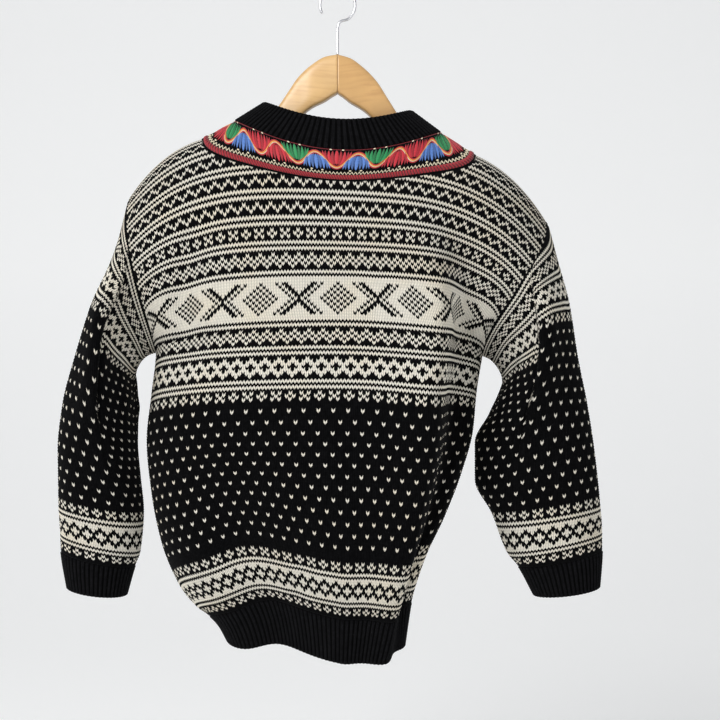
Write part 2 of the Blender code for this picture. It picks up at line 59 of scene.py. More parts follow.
# Knitted cloth, in stitches round a half body and rows from the shoulder down
HALF_STITCHES = 66.0
ARMHOLE_ROWS = 67.0
BODY_ROWS = 171
HEM_ROWS = 15
SLEEVE_ROWS = 117
CUFF_ROWS = 13
NECK_STITCHES = 39.0
NECK_DROP = {"back": 17.5, "front": 34.0}
NECK_ROUNDNESS = 0.5
SLEEVE_STITCH = 3.95 * MM    # width of a stitch on the sleeves
SHOULDER_ROWS = 4            # rows of the field on top of the shoulder, with two rows of stitches each
LEG_UV = 0.005               # width of a leg in the UV map
LEG_SIDE_PAINTED_SHADE = 0.4         # painted shade on the lines between legs: how bright they are
LEG_SLANT = 0.85             # how far a leg comes down towards the middle of its stitch, in rows

WALL = 3.0 * MM
BAND_WALL = 2.6 * MM
RIB_HEIGHT = 1.1 * MM        # how much of the wall is left to the ribs
SEAM_HEIGHT = 0.9 * MM       # height of a rib's sewn edge over the cloth's middle
KNIT_SHARE = 0.66            # the knit stitch's share of a pair of ribbing stitches
RIB_GROOVES = (0.05, 0.80, 0.05, -0.2)   # heights of a pair's columns, in rib heights
RIB_LEGS = (1.0, 1.0, -0.1, -0.1)        # heights of its legs
FREE_EDGE = (0.6, 0.1)       # a rib's free edge keeps this share of its height, and gains this one
EDGE_LINES = 3.0             # the slant of the legs eases out over the last of the lines
CREASE_EASES = 3.0           # a crease eases in over a third of its length, and out over another
MEETING = 3.0 * MM           # edges that lie closer than this belong to one seam
MITRE_LIMIT = 0.5
NEARLY = 0.9999              # a free column of a sleeve stops just short of the underarm line
SEAM_Y = 14.0 * MM           # shoulder seams lie this far in front of the hook's plane
TILT = 0.056                 # the hanger leans down to +X by this slope

ROW_SAMPLES = 180            # points along half a row before it is spaced by stitches
RING_SAMPLES = 160           # points along half a sleeve ring
RING_STEPS = 120             # steps of half a sleeve ring in its field
LOOP_STEPS = 360             # steps of half a neck loop in its field
BAND_STEPS = 8               # steps across the band
BAND_INSIDE = 0.05           # a point inside the band's ring lies this far under its middle
COLLAR_STEPS = 11
INNER_COLUMNS = 2            # half stitches to a step of the wrong side's grid

# Body sections in mm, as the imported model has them
BodySection = namedtuple("BodySection", "row x_left x_mid x_right z_mid drop_left drop_right "
                                        "y_back y_side y_front sag_power")
BODY_SECTIONS = [BodySection(*line) for line in (
    (0.0, -246, 0, 246, -171, 78, 78, 0, 0, 0, 4.5),
    (4.0, -243, 0, 243, -186, 70, 74, -28, 0, 20, 4.0),
    (17.5, -236, -1, 226, -233, 45, 66, -60, 0, 44, 3.2),
    (33.0, -226, -1, 200, -291, 34, 52, -76, 0, 58, 2.6),
    (55.0, -217, 0, 175, -364, 24, 36, -90, 4, 72, 2.1),
    (67.0, -215, -1, 171, -403, 22, 26, -94, 10, 92, 2.0),
    (84.0, -221, -3, 164, -456, 23, 19, -97, 14, 102, 2.0),
    (100.0, -227, -6, 160, -508, 26, 12, -98, 16, 106, 2.0),
    (120.0, -221, -6, 146, -568, 31, 3, -98, 16, 108, 2.0),
    (138.0, -208, -6, 126, -625, 34, -4, -96, 14, 106, 2.0),
    (152.0, -190, -5, 106, -668, 33, -6, -90, 12, 102, 2.0),
    (164.0, -168, -4, 92, -704, 25, -3, -80, 10, 94, 2.0),
    (171.0, -152, -3, 86, -723, 17, 0, -74, 8, 90, 2.0),
    (178.0, -140, -3, 82, -748, 3, -1, -68, 7, 84, 2.0),
    (186.0, -130, -3, 78, -776, -9, -1, -62, 6, 78, 2.0),
)]

# Large folds: stitch from the panel's centre, half width in stitches, height, lean and drop in mm, and rows
Fold = namedtuple("Fold", "panel stitch width height lean drop begins full fades ends")
FOLD_EDGE_POWER = 8          # a fold dies out at the seams by this power of the share of the half row
FOLDS = [Fold(*line) for line in (
    ("back", 24, 11, 40, 20, 4, 14, 60, 150, 230),
    ("back", 42, 9, -22, -6, 0, 30, 70, 140, 200),
    ("back", -22, 13, -20, 0, -13, 95, 150, 170, 230),
    ("back", -40, 6, -9, 0, 2, 18, 40, 62, 92),
    ("back", 4, 9, 9, 4, 3, 110, 150, 180, 230),
    ("front", 24, 10, 30, 8, 0, 45, 85, 160, 230),
    ("front", -2, 9, -20, 0, 0, 55, 95, 160, 230),
    ("front", -30, 10, 24, -6, 0, 60, 110, 160, 230),
)]

BODY_INSIDE = (0.0, SEAM_Y, -0.45)
CREASE_EDGE = 6.0            # creases die out over these stitches beside a seam
CREASE_END, CREASE_EASE = 4.0, 8.0   # rows past the body's last where creases end, and over which they ease
ROW_IN_STITCHES = 0.86       # height of a row in stitch widths

# Softer creases on top of them: from one stitch and row to another, half width in stitches, height in mm
Crease = namedtuple("Crease", "stitch row to_stitch to_row width height")
CREASES = {
    "back": [Crease(*line) for line in (
        (-60, 44, -34, 74, 3.2, -2.6),
        (-62, 58, -40, 84, 3.0, 2.2),
        (-52, 96, -30, 128, 4.0, -2.4),
        (-16, 62, -20, 118, 4.6, -2.0),
        (-4, 92, 6, 150, 3.8, 1.8),
        (12, 36, 14, 92, 3.4, -2.2),
        (34, 50, 62, 66, 2.8, -2.6),
        (40, 84, 58, 72, 3.0, 2.4),
        (48, 120, 40, 164, 3.2, -2.4),
        (-46, 132, -36, 168, 3.6, 2.4),
        (-6, 142, -18, 170, 3.0, -2.2),
        (28, 96, 30, 160, 2.4, -1.6),
    )],
    "front": [Crease(*line) for line in (
        (60, 46, 34, 78, 3.2, -2.8),
        (62, 62, 42, 90, 3.0, 2.2),
        (-60, 44, -36, 76, 3.4, -2.6),
        (-56, 66, -42, 96, 3.0, 2.0),
        (-12, 60, -16, 116, 4.4, -2.2),
        (10, 74, 8, 140, 3.8, 2.0),
        (44, 112, 36, 160, 3.4, -2.4),
        (-48, 124, -40, 166, 3.2, -2.0),
        (-4, 140, 2, 170, 3.0, 2.2),
    )],
}

Armhole = namedtuple("Armhole", "x_top z_top x_under z_under y_under depth_back depth_front")
ARMHOLES = {
    "right": Armhole(246, -258, 171, -429, 10, 66, 60),
    "left": Armhole(-246, -258, -215, -425, 10, 66, 60),
}
ARMHOLE_ENTRY = 0.06         # how far along its ease the seam's x starts
ARMHOLE_FALL = 0.9           # exponent of the seam's fall
ARMHOLE_SWING = 0.7          # exponent of its swing out

SleeveSection = namedtuple("SleeveSection", "row x_out z_out x_in z_in y_mid back front fall")
SLEEVE_SECTIONS = {
    "right": [SleeveSection(*line) for line in (
        (0.0, 254, -275, 172, -430, 2, 66, 60, 1.6),
        (12.0, 261, -322, 189, -438, 4, 70, 60, 2.3),
        (28.0, 272, -376, 197, -463, -2, 70, 58, 2.4),
        (45.0, 282, -434, 183, -499, -2, 60, 52, 1.8),
        (60.0, 293, -486, 164, -534, -2, 50, 46, 1.3),
        (78.0, 302, -543, 164, -577, -2, 44, 42, 1.1),
        (95.0, 308, -598, 184, -617, -2, 40, 38, 1.0),
        (110.0, 311, -641, 202, -663, -2, 38, 36, 1.0),
        (117.0, 311, -660, 215, -679, -2, 37, 35, 1.0),
        (130.0, 308, -704, 234, -714, -2, 33, 31, 1.0),
    )],
    "left": [SleeveSection(*line) for line in (
        (0.0, 254, -275, 216, -426, 2, 66, 60, 1.6),
        (12.0, 264, -322, 234, -432, 4, 72, 62, 2.3),
        (28.0, 286, -376, 243, -458, 0, 82, 66, 2.4),
        (45.0, 306, -434, 240, -499, -2, 78, 66, 1.8),
        (60.0, 321, -486, 240, -534, -2, 70, 62, 1.3),
        (78.0, 328, -543, 236, -577, -2, 58, 54, 1.1),
        (95.0, 328, -598, 232, -617, -2, 48, 46, 1.0),
        (110.0, 326, -641, 236, -663, -2, 42, 41, 1.0),
        (117.0, 325, -660, 242, -679, -2, 41, 40, 1.0),
        (130.0, 318, -704, 252, -714, -2, 35, 34, 1.0),
    )],
}
SLEEVE_BLEND_ROWS = 24.0     # rows over which a sleeve leaves the armhole's shape
SLEEVE_BLEND_POWER = 1.6

# Folds of a sleeve's back: the turn is the share of the way round from the shoulder, the height is in mm
SleeveFold = namedtuple("SleeveFold", "turn width height begins full fades ends")
SLEEVE_FOLDS = (
    SleeveFold(0.24, 0.05, 12, 4, 26, 44, 66),
    SleeveFold(0.36, 0.05, -12, 20, 34, 50, 66),
)
SLEEVE_ROW = 1.0 / 60.0      # height of a row as a share of half a ring
SLEEVE_CREASE_FROM, SLEEVE_CREASE_EASE, SLEEVE_CREASE_END = 6.0, 14.0, 10.0
# Creases of the sleeves: turn is the share of the way from the shoulder over the back (0 to 1) or over the
# front (0 to -1) to the underarm, width is in the same share
SLEEVE_CREASES = [Crease(*line) for line in (
    (0.95, 22, 0.45, 44, 0.07, -2.6),
    (0.98, 38, 0.55, 58, 0.06, 2.2),
    (0.90, 58, 0.40, 74, 0.07, -2.2),
    (0.30, 66, 0.62, 98, 0.07, -1.8),
    (0.95, 80, 0.50, 96, 0.06, 1.8),
    (-0.95, 26, -0.40, 46, 0.07, -2.6),
    (-0.95, 46, -0.45, 62, 0.06, 2.2),
    (-0.85, 64, -0.35, 84, 0.07, -2.2),
    (-0.30, 74, -0.60, 108, 0.07, -1.8),
)]

# Spacing of the first rows below the armhole, from the shoulder (0) to the underarm (1), in mm
ROW_SPACING = ((0.0, 3.95), (0.25, 2.7), (0.5, 1.95), (0.75, 1.5), (1.0, 1.15))
SPACED_ROWS = 95

# The back of a sleeve folds over itself: at a row, the fold's share of the way from the shoulder to the
# underarm, and how far the cloth on both sides has slipped past each other along it, in mm
SleeveSlip = namedtuple("SleeveSlip", "row turn slip")
SLEEVE_SLIP = [SleeveSlip(*line) for line in (
    (0, 0.30, 0),
    (6, 0.42, 6),
    (20, 0.49, 22),
    (28, 0.52, 28),
    (44, 0.53, 27),
    (62, 0.58, 14),
    (84, 0.66, 0),
    (130, 0.66, 0),
)]

SLIP_FROM, SLIP_REACH = 0.1, 0.35   # where the slip starts, and how far it reaches past the fold
SLIP_EDGE = 0.024            # width of the fold's edge, as a share of the way
SLIP_FULL = 20.0             # slip in mm that gives the ridge and the groove their full height
# The ridge before the fold's edge and the groove behind it: place and width as shares, height in mm
Bell = namedtuple("Bell", "at width height")
SLIP_BELLS = (Bell(-0.035, 0.028, 2.6), Bell(0.012, 0.022, -4.2))

NeckLoop = namedtuple("NeckLoop", "half_width y_back z_back z_side y_front z_front")
COLLAR_BASE = NeckLoop(121.5, -53, -196, -161, 50, -252)
COLLAR_TOP = NeckLoop(86, -46, -159, -137, 44, -214)

# Hanger, in mm: stations from the centre outwards
ArmStation = namedtuple("ArmStation", "x z_top height thickness y")
ARM_STATIONS = [ArmStation(*line) for line in (
    (0, -78, 48, 20, 0),
    (14, -81, 49, 20, 1),
    (30, -91, 50, 20, 2),
    (46, -106, 50, 19, 4),
    (59, -125, 44, 19, 6),
    (74, -146, 38, 18, 8),
    (95, -162, 34, 17, 10),
    (122, -176, 30, 16, 12),
    (142, -186, 27, 15, 13.5),
    (160, -191, 24, 14, 14),
    (176, -198, 21, 13.5, 14),
    (190, -208, 18, 13, 14),
)]
SEAT_X = 165 * MM
SEAT_GAP = 4.0 * MM
HOOK_WIRE = 1.6 * MM
HOOK_INNER = 19 * MM
STEM_FOOT = -0.0776
HOOK_FROM, HOOK_TO = -52.0, 205.0   # where the hook's circle starts and ends, in degrees
HOOK_SIDES = 16
HOOK_CAP = (0.35, 0.75, 1.15)       # angles of the rings in the wire's rounded ends
STEM_STRAIGHT = 0.72                # share of the stem below its bend
ARM_SECTIONS, ARM_SIDES = 90, 56
SEAT_EASE = 6.0 * MM                # half the length over which the arm's top eases into its seat
JOINT_GAP = 0.15             # each half starts this far from the centre
JOINT_CHAMFER = 0.5 * MM
TIP_ROUND = 5.0
ARM_TIP = 4.0                # the tip's rounding reaches this far past the last station
ARM_SQUARENESS = 4.5         # exponent of the arm's rounded section
ARCH_NOTCH = 2.5 * MM        # the arch's sharp corner at the joint
ARCH_NOTCH_REACH = 12.0
ARCH_FILL = 3.0 * MM         # what straightens the arch beside it
ARCH_FILL_X = 17.0
ARCH_FILL_WIDTH = 9.0

# Woven band: the scroll's waves are counted round the neck, and its sizes are in mm
BAND_WIDTH = 36.0 * MM
LEAF_GROWTH = 1.12           # how much longer the leaves are than their table says
BAND_MIDDLE = 0.655          # middle of the scroll, as a share of the band from its outer edge
SCROLL_WAVES = 16
SCROLL_REACH = 8.0 * MM
THREADS = {
    "red": (0.50, 0.022, 0.035),
    "dark red": (0.20, 0.010, 0.016),
    "green": (0.018, 0.24, 0.075),
    "blue": (0.085, 0.19, 0.50),
    "gold": (0.86, 0.34, 0.07),
    "cream": (0.80, 0.70, 0.50),
}
# Leaves of a palmette: base, bend and tip (x, y) from the middle of its lobe, and half width, in mm
Leaf = namedtuple("Leaf", "base_x base_y bend_x bend_y tip_x tip_y half_width")
LEAVES = [Leaf(*line) for line in (
    (0.0, -4.8, 0.0, 2.0, 0.0, 10.6, 2.5),
    (1.3, -4.6, 5.6, -1.0, 4.2, 10.0, 2.1),
    (3.0, -4.2, 9.6, -1.8, 8.2, 9.9, 2.1),
    (4.8, -3.4, 13.4, -1.6, 12.0, 9.6, 1.9),
    (6.8, -1.0, 13.8, 1.0, 15.4, 9.4, 1.3),
)]
LEAF_ROUNDNESS = 0.6         # exponent of the sine that gives a leaf's width
LEAF_LIFT = 0.85             # height of a leaf over the band, in mm
LEAF_SHADES = (1.15, 0.72)   # brightness of every other leaf

# Strands of the scroll's stem, each beside the wave by its offset, in mm
Strand = namedtuple("Strand", "thread offset half_width lift")
STEM = (Strand("gold", 0.0, 0.72, 0.95), Strand("red", 1.25, 0.62, 0.7), Strand("red", -1.85, 0.68, 0.7),
        Strand("cream", -1.05, 0.42, 0.85))
# Small knots beside each palmette, in mm from its middle
KNOT_X, KNOT_Y, KNOT_LENGTH, KNOT_WIDTH = 6.4, 11.9, 1.7, 0.75
# Threads round the band: their place as a share of its width from the outer edge, and their size in mm
Trim = namedtuple("Trim", "share half_width lift")
BRAID, CORD, EDGE = Trim(0.245, 0.5, 0.9), Trim(0.125, 2.6, 1.6), Trim(0.99, 0.45, 0.7)
BRAID_TURNS, BRAID_REACH = 165, 1.5
CORD_TWISTS, CORD_SLANT, CORD_SWELL = 224, 3.2, 0.5
SUNK = 0.3                   # share of a thread's lift that lies under the band's face

# Charts, written a row to a line: "#" is cream yarn and "." is black
CHARTS = {
    "black": (".",),
    "cream": ("#",),
    "zigzag": (
        "#...",
        ".#.#",
        "..#."),
    "small crosses": (
        ".#..#..#",
        "#..#.#..",
        ".#..#..#"),
    "trellis": (
        "#...",
        ".#.#",
        "#.#.",
        ".#.#",
        "..#."),
    "lozenges": (
        "#...",
        "##.#",
        ".###",
        "..#.",
        ".###",
        "##.#",
        "#..."),
    "border": (
        "####",
        ".###",
        "..#.",
        "#...",
        "##.#",
        "#...",
        "..#.",
        ".###",
        "####"),
    "lice": (
        "....",
        "#...",
        "....",
        "....",
        "....",
        "..#.",
        "....",
        "...."),
}


WIDEST = 24                  # stitches in the widest chart's repeat


def chest_chart():
    """Lozenges and saltires in turn. Each is written from its middle row up and down, and from its middle
    stitch to both sides, as the numbers of its black stitches."""
    lozenge = ((1, 3, 5), (0, 2, 4), (1, 3), (0, 2), (1,), (0,))
    saltire = ((0, 2), (0, 1, 3), (1, 2, 4), (2, 3, 5), (3, 4, 6), (4, 5, 7))
    plain_rows, reach = 2, 5
    grid = np.ones((2 * (plain_rows + reach) + 1, WIDEST), bool)
    for away in range(-reach, reach + 1):
        for middle, figure in ((0, lozenge), (WIDEST // 2, saltire)):
            for k in figure[abs(away)]:
                grid[plain_rows + reach + away, [middle + k, middle - k]] = False
    return grid


def lower_rows(lice):
    """The rows from the yoke to the rib: rows of lice between small crosses, and the border between lines."""
    crosses, line = ["small crosses", "black", "black"], ["black", "cream", "black"]
    return crosses + [lice] + crosses[::-1] + line + ["border"] + line + crosses


# Rows from the shoulder down: chart names in order, a number repeats the lice for that many rows
LINES = ["black", "cream", "black", "cream", "black"]
BODY_PLAN = (["cream", "black", "cream", "black"] + (["zigzag"] + LINES) * 4 + ["small crosses"] + LINES
             + ["trellis", "black", "cream", "black", "chest", "black", "cream", "black", "trellis"] + LINES
             + ["lozenges"] + LINES + lower_rows(53))
SLEEVE_PLAN = ["black"] + LINES + ["trellis"] + LINES + ["lozenges"] + LINES + lower_rows(59)


def chart_grid(name):
    """A chart as an array of True where the yarn is cream."""
    if name == "chest":
        return chest_chart()
    return np.array([[mark == "#" for mark in line] for line in CHARTS[name]])


def yarn_rows(plan, stitches, rows):
    """1 where a stitch is cream, for whole stitch numbers from the centre and row numbers from the top."""
    lice = chart_grid("lice")
    table = []
    for entry in plan:
        repeated = isinstance(entry, int)
        table += [lice[i % len(lice)] for i in range(entry)] if repeated else [*chart_grid(entry)]
    periods = np.array([len(line) for line in table])
    widest = np.array([np.resize(line, WIDEST) for line in table])
    rows = np.clip(rows, 0, len(table) - 1)
    return widest[rows, np.mod(stitches, periods[rows])].astype(float)


def smoothstep(value):
    """Eases from 0 to 1 as 3 t squared minus 2 t cubed."""
    value = np.clip(value, 0.0, 1.0)
    return value * value * (3.0 - 2.0 * value)


def bell(value):
    """A bell: e to the power of minus the square."""
    return np.exp(-value ** 2)


def cubic(t, start, start_slope, end, end_slope):
    """The cubic over t from 0 to 1 with given values and slopes at its ends."""
    return (start * (2 * t**3 - 3 * t**2 + 1) + start_slope * (t**3 - 2 * t**2 + t)
            + end * (3 * t**2 - 2 * t**3) + end_slope * (t**3 - t**2))


def column(table, name, at):
    """A table's column at any place along its first column, through a smooth curve that never overshoots."""
    places = np.array([line[0] for line in table], float)
    values = np.array([getattr(line, name) for line in table], float)
    steps = np.diff(values) / np.diff(places)
    slopes = np.zeros(len(places))
    slopes[0], slopes[-1] = steps[0], steps[-1]
    same_way = steps[:-1] * steps[1:] > 0
    total = np.where(np.abs(steps[:-1] + steps[1:]) < 1e-12, 1.0, steps[:-1] + steps[1:])
    slopes[1:-1] = np.where(same_way, 2.0 * steps[:-1] * steps[1:] / total, 0.0)
    at = np.clip(np.asarray(at, float), places[0], places[-1])
    i = np.clip(np.searchsorted(places, at, side="right") - 1, 0, len(places) - 2)
    h = places[i + 1] - places[i]
    return cubic((at - places[i]) / h, values[i], h * slopes[i], values[i + 1], h * slopes[i + 1])


def fade_of(fold, row):
    """How much of a fold there is at a row, easing in and out."""
    entry = smoothstep((row - fold.begins) / (fold.full - fold.begins))
    return entry * smoothstep((fold.ends - row) / (fold.ends - fold.fades))


def lean_drop(x, row):
    """The hanger's lean lowers +X by a slope that dies out down to the underarms."""
    return TILT * x * (1.0 - smoothstep(row / ARMHOLE_ROWS))


def armhole(side, panel, row):
    """The armhole seam: x eases inwards, z falls by a power, y swings out as a sine."""
    seam = ARMHOLES[side]
    v = np.clip(row / ARMHOLE_ROWS, 0.0, 1.0)
    depth = -seam.depth_back if panel == "back" else seam.depth_front
    x = seam.x_top + (seam.x_under - seam.x_top) * smoothstep(ARMHOLE_ENTRY + (1.0 - ARMHOLE_ENTRY) * v)
    z = seam.z_top + (seam.z_under - seam.z_top) * v ** ARMHOLE_FALL
    y = depth * np.sin(math.pi * v).clip(0.0) ** ARMHOLE_SWING + seam.y_under * v
    return np.stack([x * MM, y * MM, z * MM - lean_drop(x * MM, row)], axis=-1)


def half_rows(panel, side, rows):
    """Rows from the centre to the side: x goes from straight to a quarter sine down to the underarm, y is a
    quarter cosine, z sags by a power of the share, and each fold adds a bell of height, lean and drop."""
    rows = np.asarray(rows, float)[:, None]
    u = np.linspace(0.0, 1.0, ROW_SAMPLES)[None, :]

    def value(name):
        return column(BODY_SECTIONS, name, rows) * MM

    sign = 1.0 if side == "right" else -1.0
    above = rows < ARMHOLE_ROWS
    free = np.stack([value("x_" + side), value("y_side"), value("z_mid") - value("drop_" + side)], axis=-1)
    edge = np.where(above[..., None], armhole(side, panel, rows), free)
    roundness = smoothstep(rows / ARMHOLE_ROWS)
    centre_x, centre_y, centre_z = value("x_mid"), value("y_" + panel), value("z_mid")
    arc = 0.5 * math.pi * u
    x = centre_x + (edge[..., 0] - centre_x) * ((1.0 - roundness) * u + roundness * np.sin(arc))
    y = edge[..., 1] + (centre_y - edge[..., 1]) * np.cos(arc)
    level_edge = edge[..., 2] + lean_drop(edge[..., 0], rows)
    sag = u ** column(BODY_SECTIONS, "sag_power", rows)
    z = centre_z + (level_edge - centre_z) * sag - lean_drop(x, rows)
    outward = -1.0 if panel == "back" else 1.0
    for fold in FOLDS:
        if fold.panel != panel:
            continue
        away = (sign * u * HALF_STITCHES - fold.stitch) / fold.width
        bump = MM * bell(away) * fade_of(fold, rows) * (1.0 - u ** FOLD_EDGE_POWER)
        y = y + outward * fold.height * bump
        x = x + fold.lean * bump
        z = z - fold.drop * bump
    return np.stack([x, y + SEAM_Y, z], axis=-1)


def evenly(points, count):
    """A line with its points evenly spaced along its length."""
    length = np.concatenate([[0.0], np.cumsum(np.linalg.norm(np.diff(points, axis=0), axis=1))])
    at = np.linspace(0.0, length[-1], count)
    return np.stack([np.interp(at, length, points[:, k]) for k in range(3)], axis=1)


def unit(vectors):
    """Vectors at length 1."""
    return vectors / np.maximum(np.linalg.norm(vectors, axis=-1, keepdims=True), 1e-12)


class Field:
    """Points and outward normals of a cloth's middle on a grid of steps across and rows down."""

    def __init__(self, points, closed, inside):
        """The normal is the cross product of the grid's two ways, turned away from the point inside."""
        self.closed = closed
        if closed:
            wide = np.concatenate([points[:, -1:], points, points[:, :1]], axis=1)
            across = wide[:, 2:] - wide[:, :-2]
        else:
            across = np.gradient(points, axis=1)
        normals = unit(np.cross(across, np.gradient(points, axis=0)))
        if np.sum(normals * (points - inside)) < 0.0:
            normals = -normals
        self.points, self.normals = points, normals

    def sample(self, step, row):
        """Point and normal at any step and row, by bilinear interpolation."""
        rows, steps = self.points.shape[:2]
        row = np.clip(row, 0.0, rows - 1.0)
        r0 = np.minimum(row.astype(int), rows - 2)
        fr = (row - r0)[..., None]
        if self.closed:
            s0 = np.floor(step).astype(int)
            fs = (step - s0)[..., None]
            s0, s1 = s0 % steps, (s0 + 1) % steps
        else:
            step = np.clip(step, 0.0, steps - 1.0)
            s0 = np.minimum(step.astype(int), steps - 2)
            fs = (step - s0)[..., None]
            s1 = s0 + 1
        found = []
        for grid in (self.points, self.normals):
            top = grid[r0, s0] * (1 - fs) + grid[r0, s1] * fs
            low = grid[r0 + 1, s0] * (1 - fs) + grid[r0 + 1, s1] * fs
            found.append(top * (1 - fr) + low * fr)
        return found[0], unit(found[1])


def crease_height(creases, across, row, row_scale):
    """Soft troughs and ridges: each is a bell across its line, easing in and out along it."""
    total = np.zeros(np.broadcast(across, row).shape)
    for crease in creases:
        along_x, along_y = crease.to_stitch - crease.stitch, (crease.to_row - crease.row) * row_scale
        length = math.hypot(along_x, along_y)
        dx, dy = across - crease.stitch, (row - crease.row) * row_scale
        along = (dx * along_x + dy * along_y) / length ** 2
        off = (dx * along_y - dy * along_x) / length
        ease = smoothstep(along * CREASE_EASES) * smoothstep((1.0 - along) * CREASE_EASES)
        total = total + crease.height * MM * bell(off / crease.width) * ease
    return total


@functools.lru_cache(maxsize=None)
def panel_field(panel):
    """Back or front: a point at each stitch and row, left side to right side."""
    rows = np.arange(0.0, BODY_ROWS + HEM_ROWS + 1.0)
    count = int(HALF_STITCHES) + 1
    left = half_rows(panel, "left", rows)
    right = half_rows(panel, "right", rows)
    points = np.array([np.concatenate([evenly(a, count)[::-1], evenly(b, count)[1:]])
                       for a, b in zip(left, right)])
    plain = Field(points, False, BODY_INSIDE)
    stitches = np.arange(points.shape[1])[None, :] - HALF_STITCHES
    beside = np.clip((np.abs(stitches) - HALF_STITCHES + CREASE_EDGE) / CREASE_EDGE, 0.0, 1.0)
    fade = (1.0 - beside ** 2) * smoothstep((BODY_ROWS + CREASE_END - rows[:, None]) / CREASE_EASE)
    height = crease_height(CREASES[panel], stitches, rows[:, None], ROW_IN_STITCHES) * fade
    return Field(points + plain.normals * height[..., None], False, BODY_INSIDE)


def slip_of(rows, turn):
    """How far the cloth is slipped down beside the fold of a sleeve's back, and how high it stands there: up
    on the shoulder's side and down on the other, both easing away from the fold, with a ridge and groove."""
    fold, slip = column(SLEEVE_SLIP, "turn", rows), column(SLEEVE_SLIP, "slip", rows)
    near = -smoothstep((turn - SLIP_FROM) / (fold - SLIP_FROM))
    far = 1.0 - smoothstep((turn - fold) / SLIP_REACH)
    across = smoothstep((turn - fold) / SLIP_EDGE + 0.5)
    height = sum(part.height * bell((turn - fold - part.at) / part.width) for part in SLIP_BELLS)
    return 0.5 * slip * MM * (near + (far - near) * across), height * MM * np.clip(slip / SLIP_FULL, 0.0, 1.0)


def knitted_rows(points, turn):
    """Moves a sleeve's rows along its columns. From the armhole to the cuff's pattern the way along a column
    is a cubic of the row: it starts with the spacing of ROW_SPACING at that share of the way from the
    shoulder to the underarm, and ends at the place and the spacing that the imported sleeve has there. The
    fold's slip is added."""
    rows = np.arange(points.shape[0], dtype=float)
    steps = np.linalg.norm(np.diff(points, axis=0), axis=-1)
    length = np.concatenate([np.zeros((1, points.shape[1])), np.cumsum(steps, axis=0)])
    shares, spacings = np.array(ROW_SPACING).T
    spacing = np.interp(np.abs(turn), shares, spacings * MM)
    last, reach = SPACED_ROWS, 3
    end_slope = (length[last + reach] - length[last - reach]) / (2.0 * reach)
    way = cubic((rows / last)[:, None], 0.0, last * spacing, length[last], last * end_slope)
    way = np.where(rows[:, None] < last, way, length) + slip_of(rows[:, None], turn[None, :])[0]
    moved = np.empty_like(points)
    for k in range(points.shape[1]):
        place = np.interp(way[:, k], length[:, k], rows)
        below = np.minimum(place.astype(int), len(rows) - 2)
        part = (place - below)[:, None]
        moved[:, k] = points[below, k] * (1.0 - part) + points[below + 1, k] * part
    return moved


@functools.lru_cache(maxsize=None)
def sleeve_field(side):
    """A sleeve and its cuff: rings that leave the armhole's own shape and ease into sections that lean in."""
    sign = 1.0 if side == "right" else -1.0
    rows = np.arange(0.0, SLEEVE_ROWS + CUFF_ROWS + 1.0)[:, None]
    v = np.linspace(0.0, 1.0, RING_SAMPLES)[None, :]
    edge_step = 2.0 * HALF_STITCHES if side == "right" else 0.0

    def value(name):
        return column(SLEEVE_SECTIONS[side], name, rows) * MM

    blend = 1.0 - (1.0 - np.minimum(rows / SLEEVE_BLEND_ROWS, 1.0)) ** SLEEVE_BLEND_POWER
    halves = {}
    for panel in ("back", "front"):
        seam = panel_field(panel).sample(edge_step + 0.0 * v[0], v[0] * ARMHOLE_ROWS)[0][None]
        across = 0.5 - 0.5 * np.cos(math.pi * v)
        x = value("x_out") + (value("x_in") - value("x_out")) * across
        z = value("z_out") + (value("z_in") - value("z_out")) * across ** (value("fall") / MM)
        depth = -value("back") if panel == "back" else value("front")
        y = value("y_mid") + depth * np.sin(math.pi * v)
        turn = 0.5 * v if panel == "back" else 1.0 - 0.5 * v
        for fold in SLEEVE_FOLDS:
            y = y - fold.height * MM * bell((turn - fold.turn) / fold.width) * fade_of(fold, rows)
        free = np.stack([sign * x, y + SEAM_Y, z], axis=-1)
        halves[panel] = seam * (1.0 - blend[..., None]) + free * blend[..., None]
    rings = [np.concatenate([evenly(front, RING_STEPS + 1)[:0:-1], evenly(back, RING_STEPS + 1)[:-1]])
             for back, front in zip(halves["back"], halves["front"])]
    turn = (np.arange(2 * RING_STEPS)[None, :] - RING_STEPS) / RING_STEPS
    points = knitted_rows(np.array(rings), turn[0])
    inside = np.mean(points, axis=1, keepdims=True)
    plain = Field(points, True, inside)
    fade = smoothstep((rows - SLEEVE_CREASE_FROM) / SLEEVE_CREASE_EASE)
    fade = fade * smoothstep((SLEEVE_ROWS - rows) / SLEEVE_CREASE_END)
    height = crease_height(SLEEVE_CREASES, turn, rows, SLEEVE_ROW) * fade + slip_of(rows, turn)[1]
    field = Field(points + plain.normals * height[..., None], True, inside)
    steps = np.linalg.norm(np.roll(points, -1, axis=1) - points, axis=-1)
    return field, np.stack([np.sum(half, axis=1) for half in np.split(steps, 2, axis=1)], axis=1)


def neck_row(panel, stitch):
    """The row at which the neck is cut: a root of a cosine of the stitch."""
    turn = np.clip(np.abs(stitch) / NECK_STITCHES, 0.0, 1.0) * 0.5 * math.pi
    return NECK_DROP[panel] * np.cos(turn).clip(0.0) ** NECK_ROUNDNESS


def loop_point(loop, turn):
    """A neck loop: an ellipse whose height goes with the squared cosine of the turn, 0 at the back centre."""
    c = np.cos(turn)
    x = loop.half_width * np.sin(turn)
    y = np.where(c >= 0.0, loop.y_back * c, -loop.y_front * c)
    z = loop.z_side + np.where(c >= 0.0, loop.z_back - loop.z_side, loop.z_front - loop.z_side) * c * c
    return np.stack([x * MM, y * MM + SEAM_Y, (z - TILT * x) * MM], axis=-1)


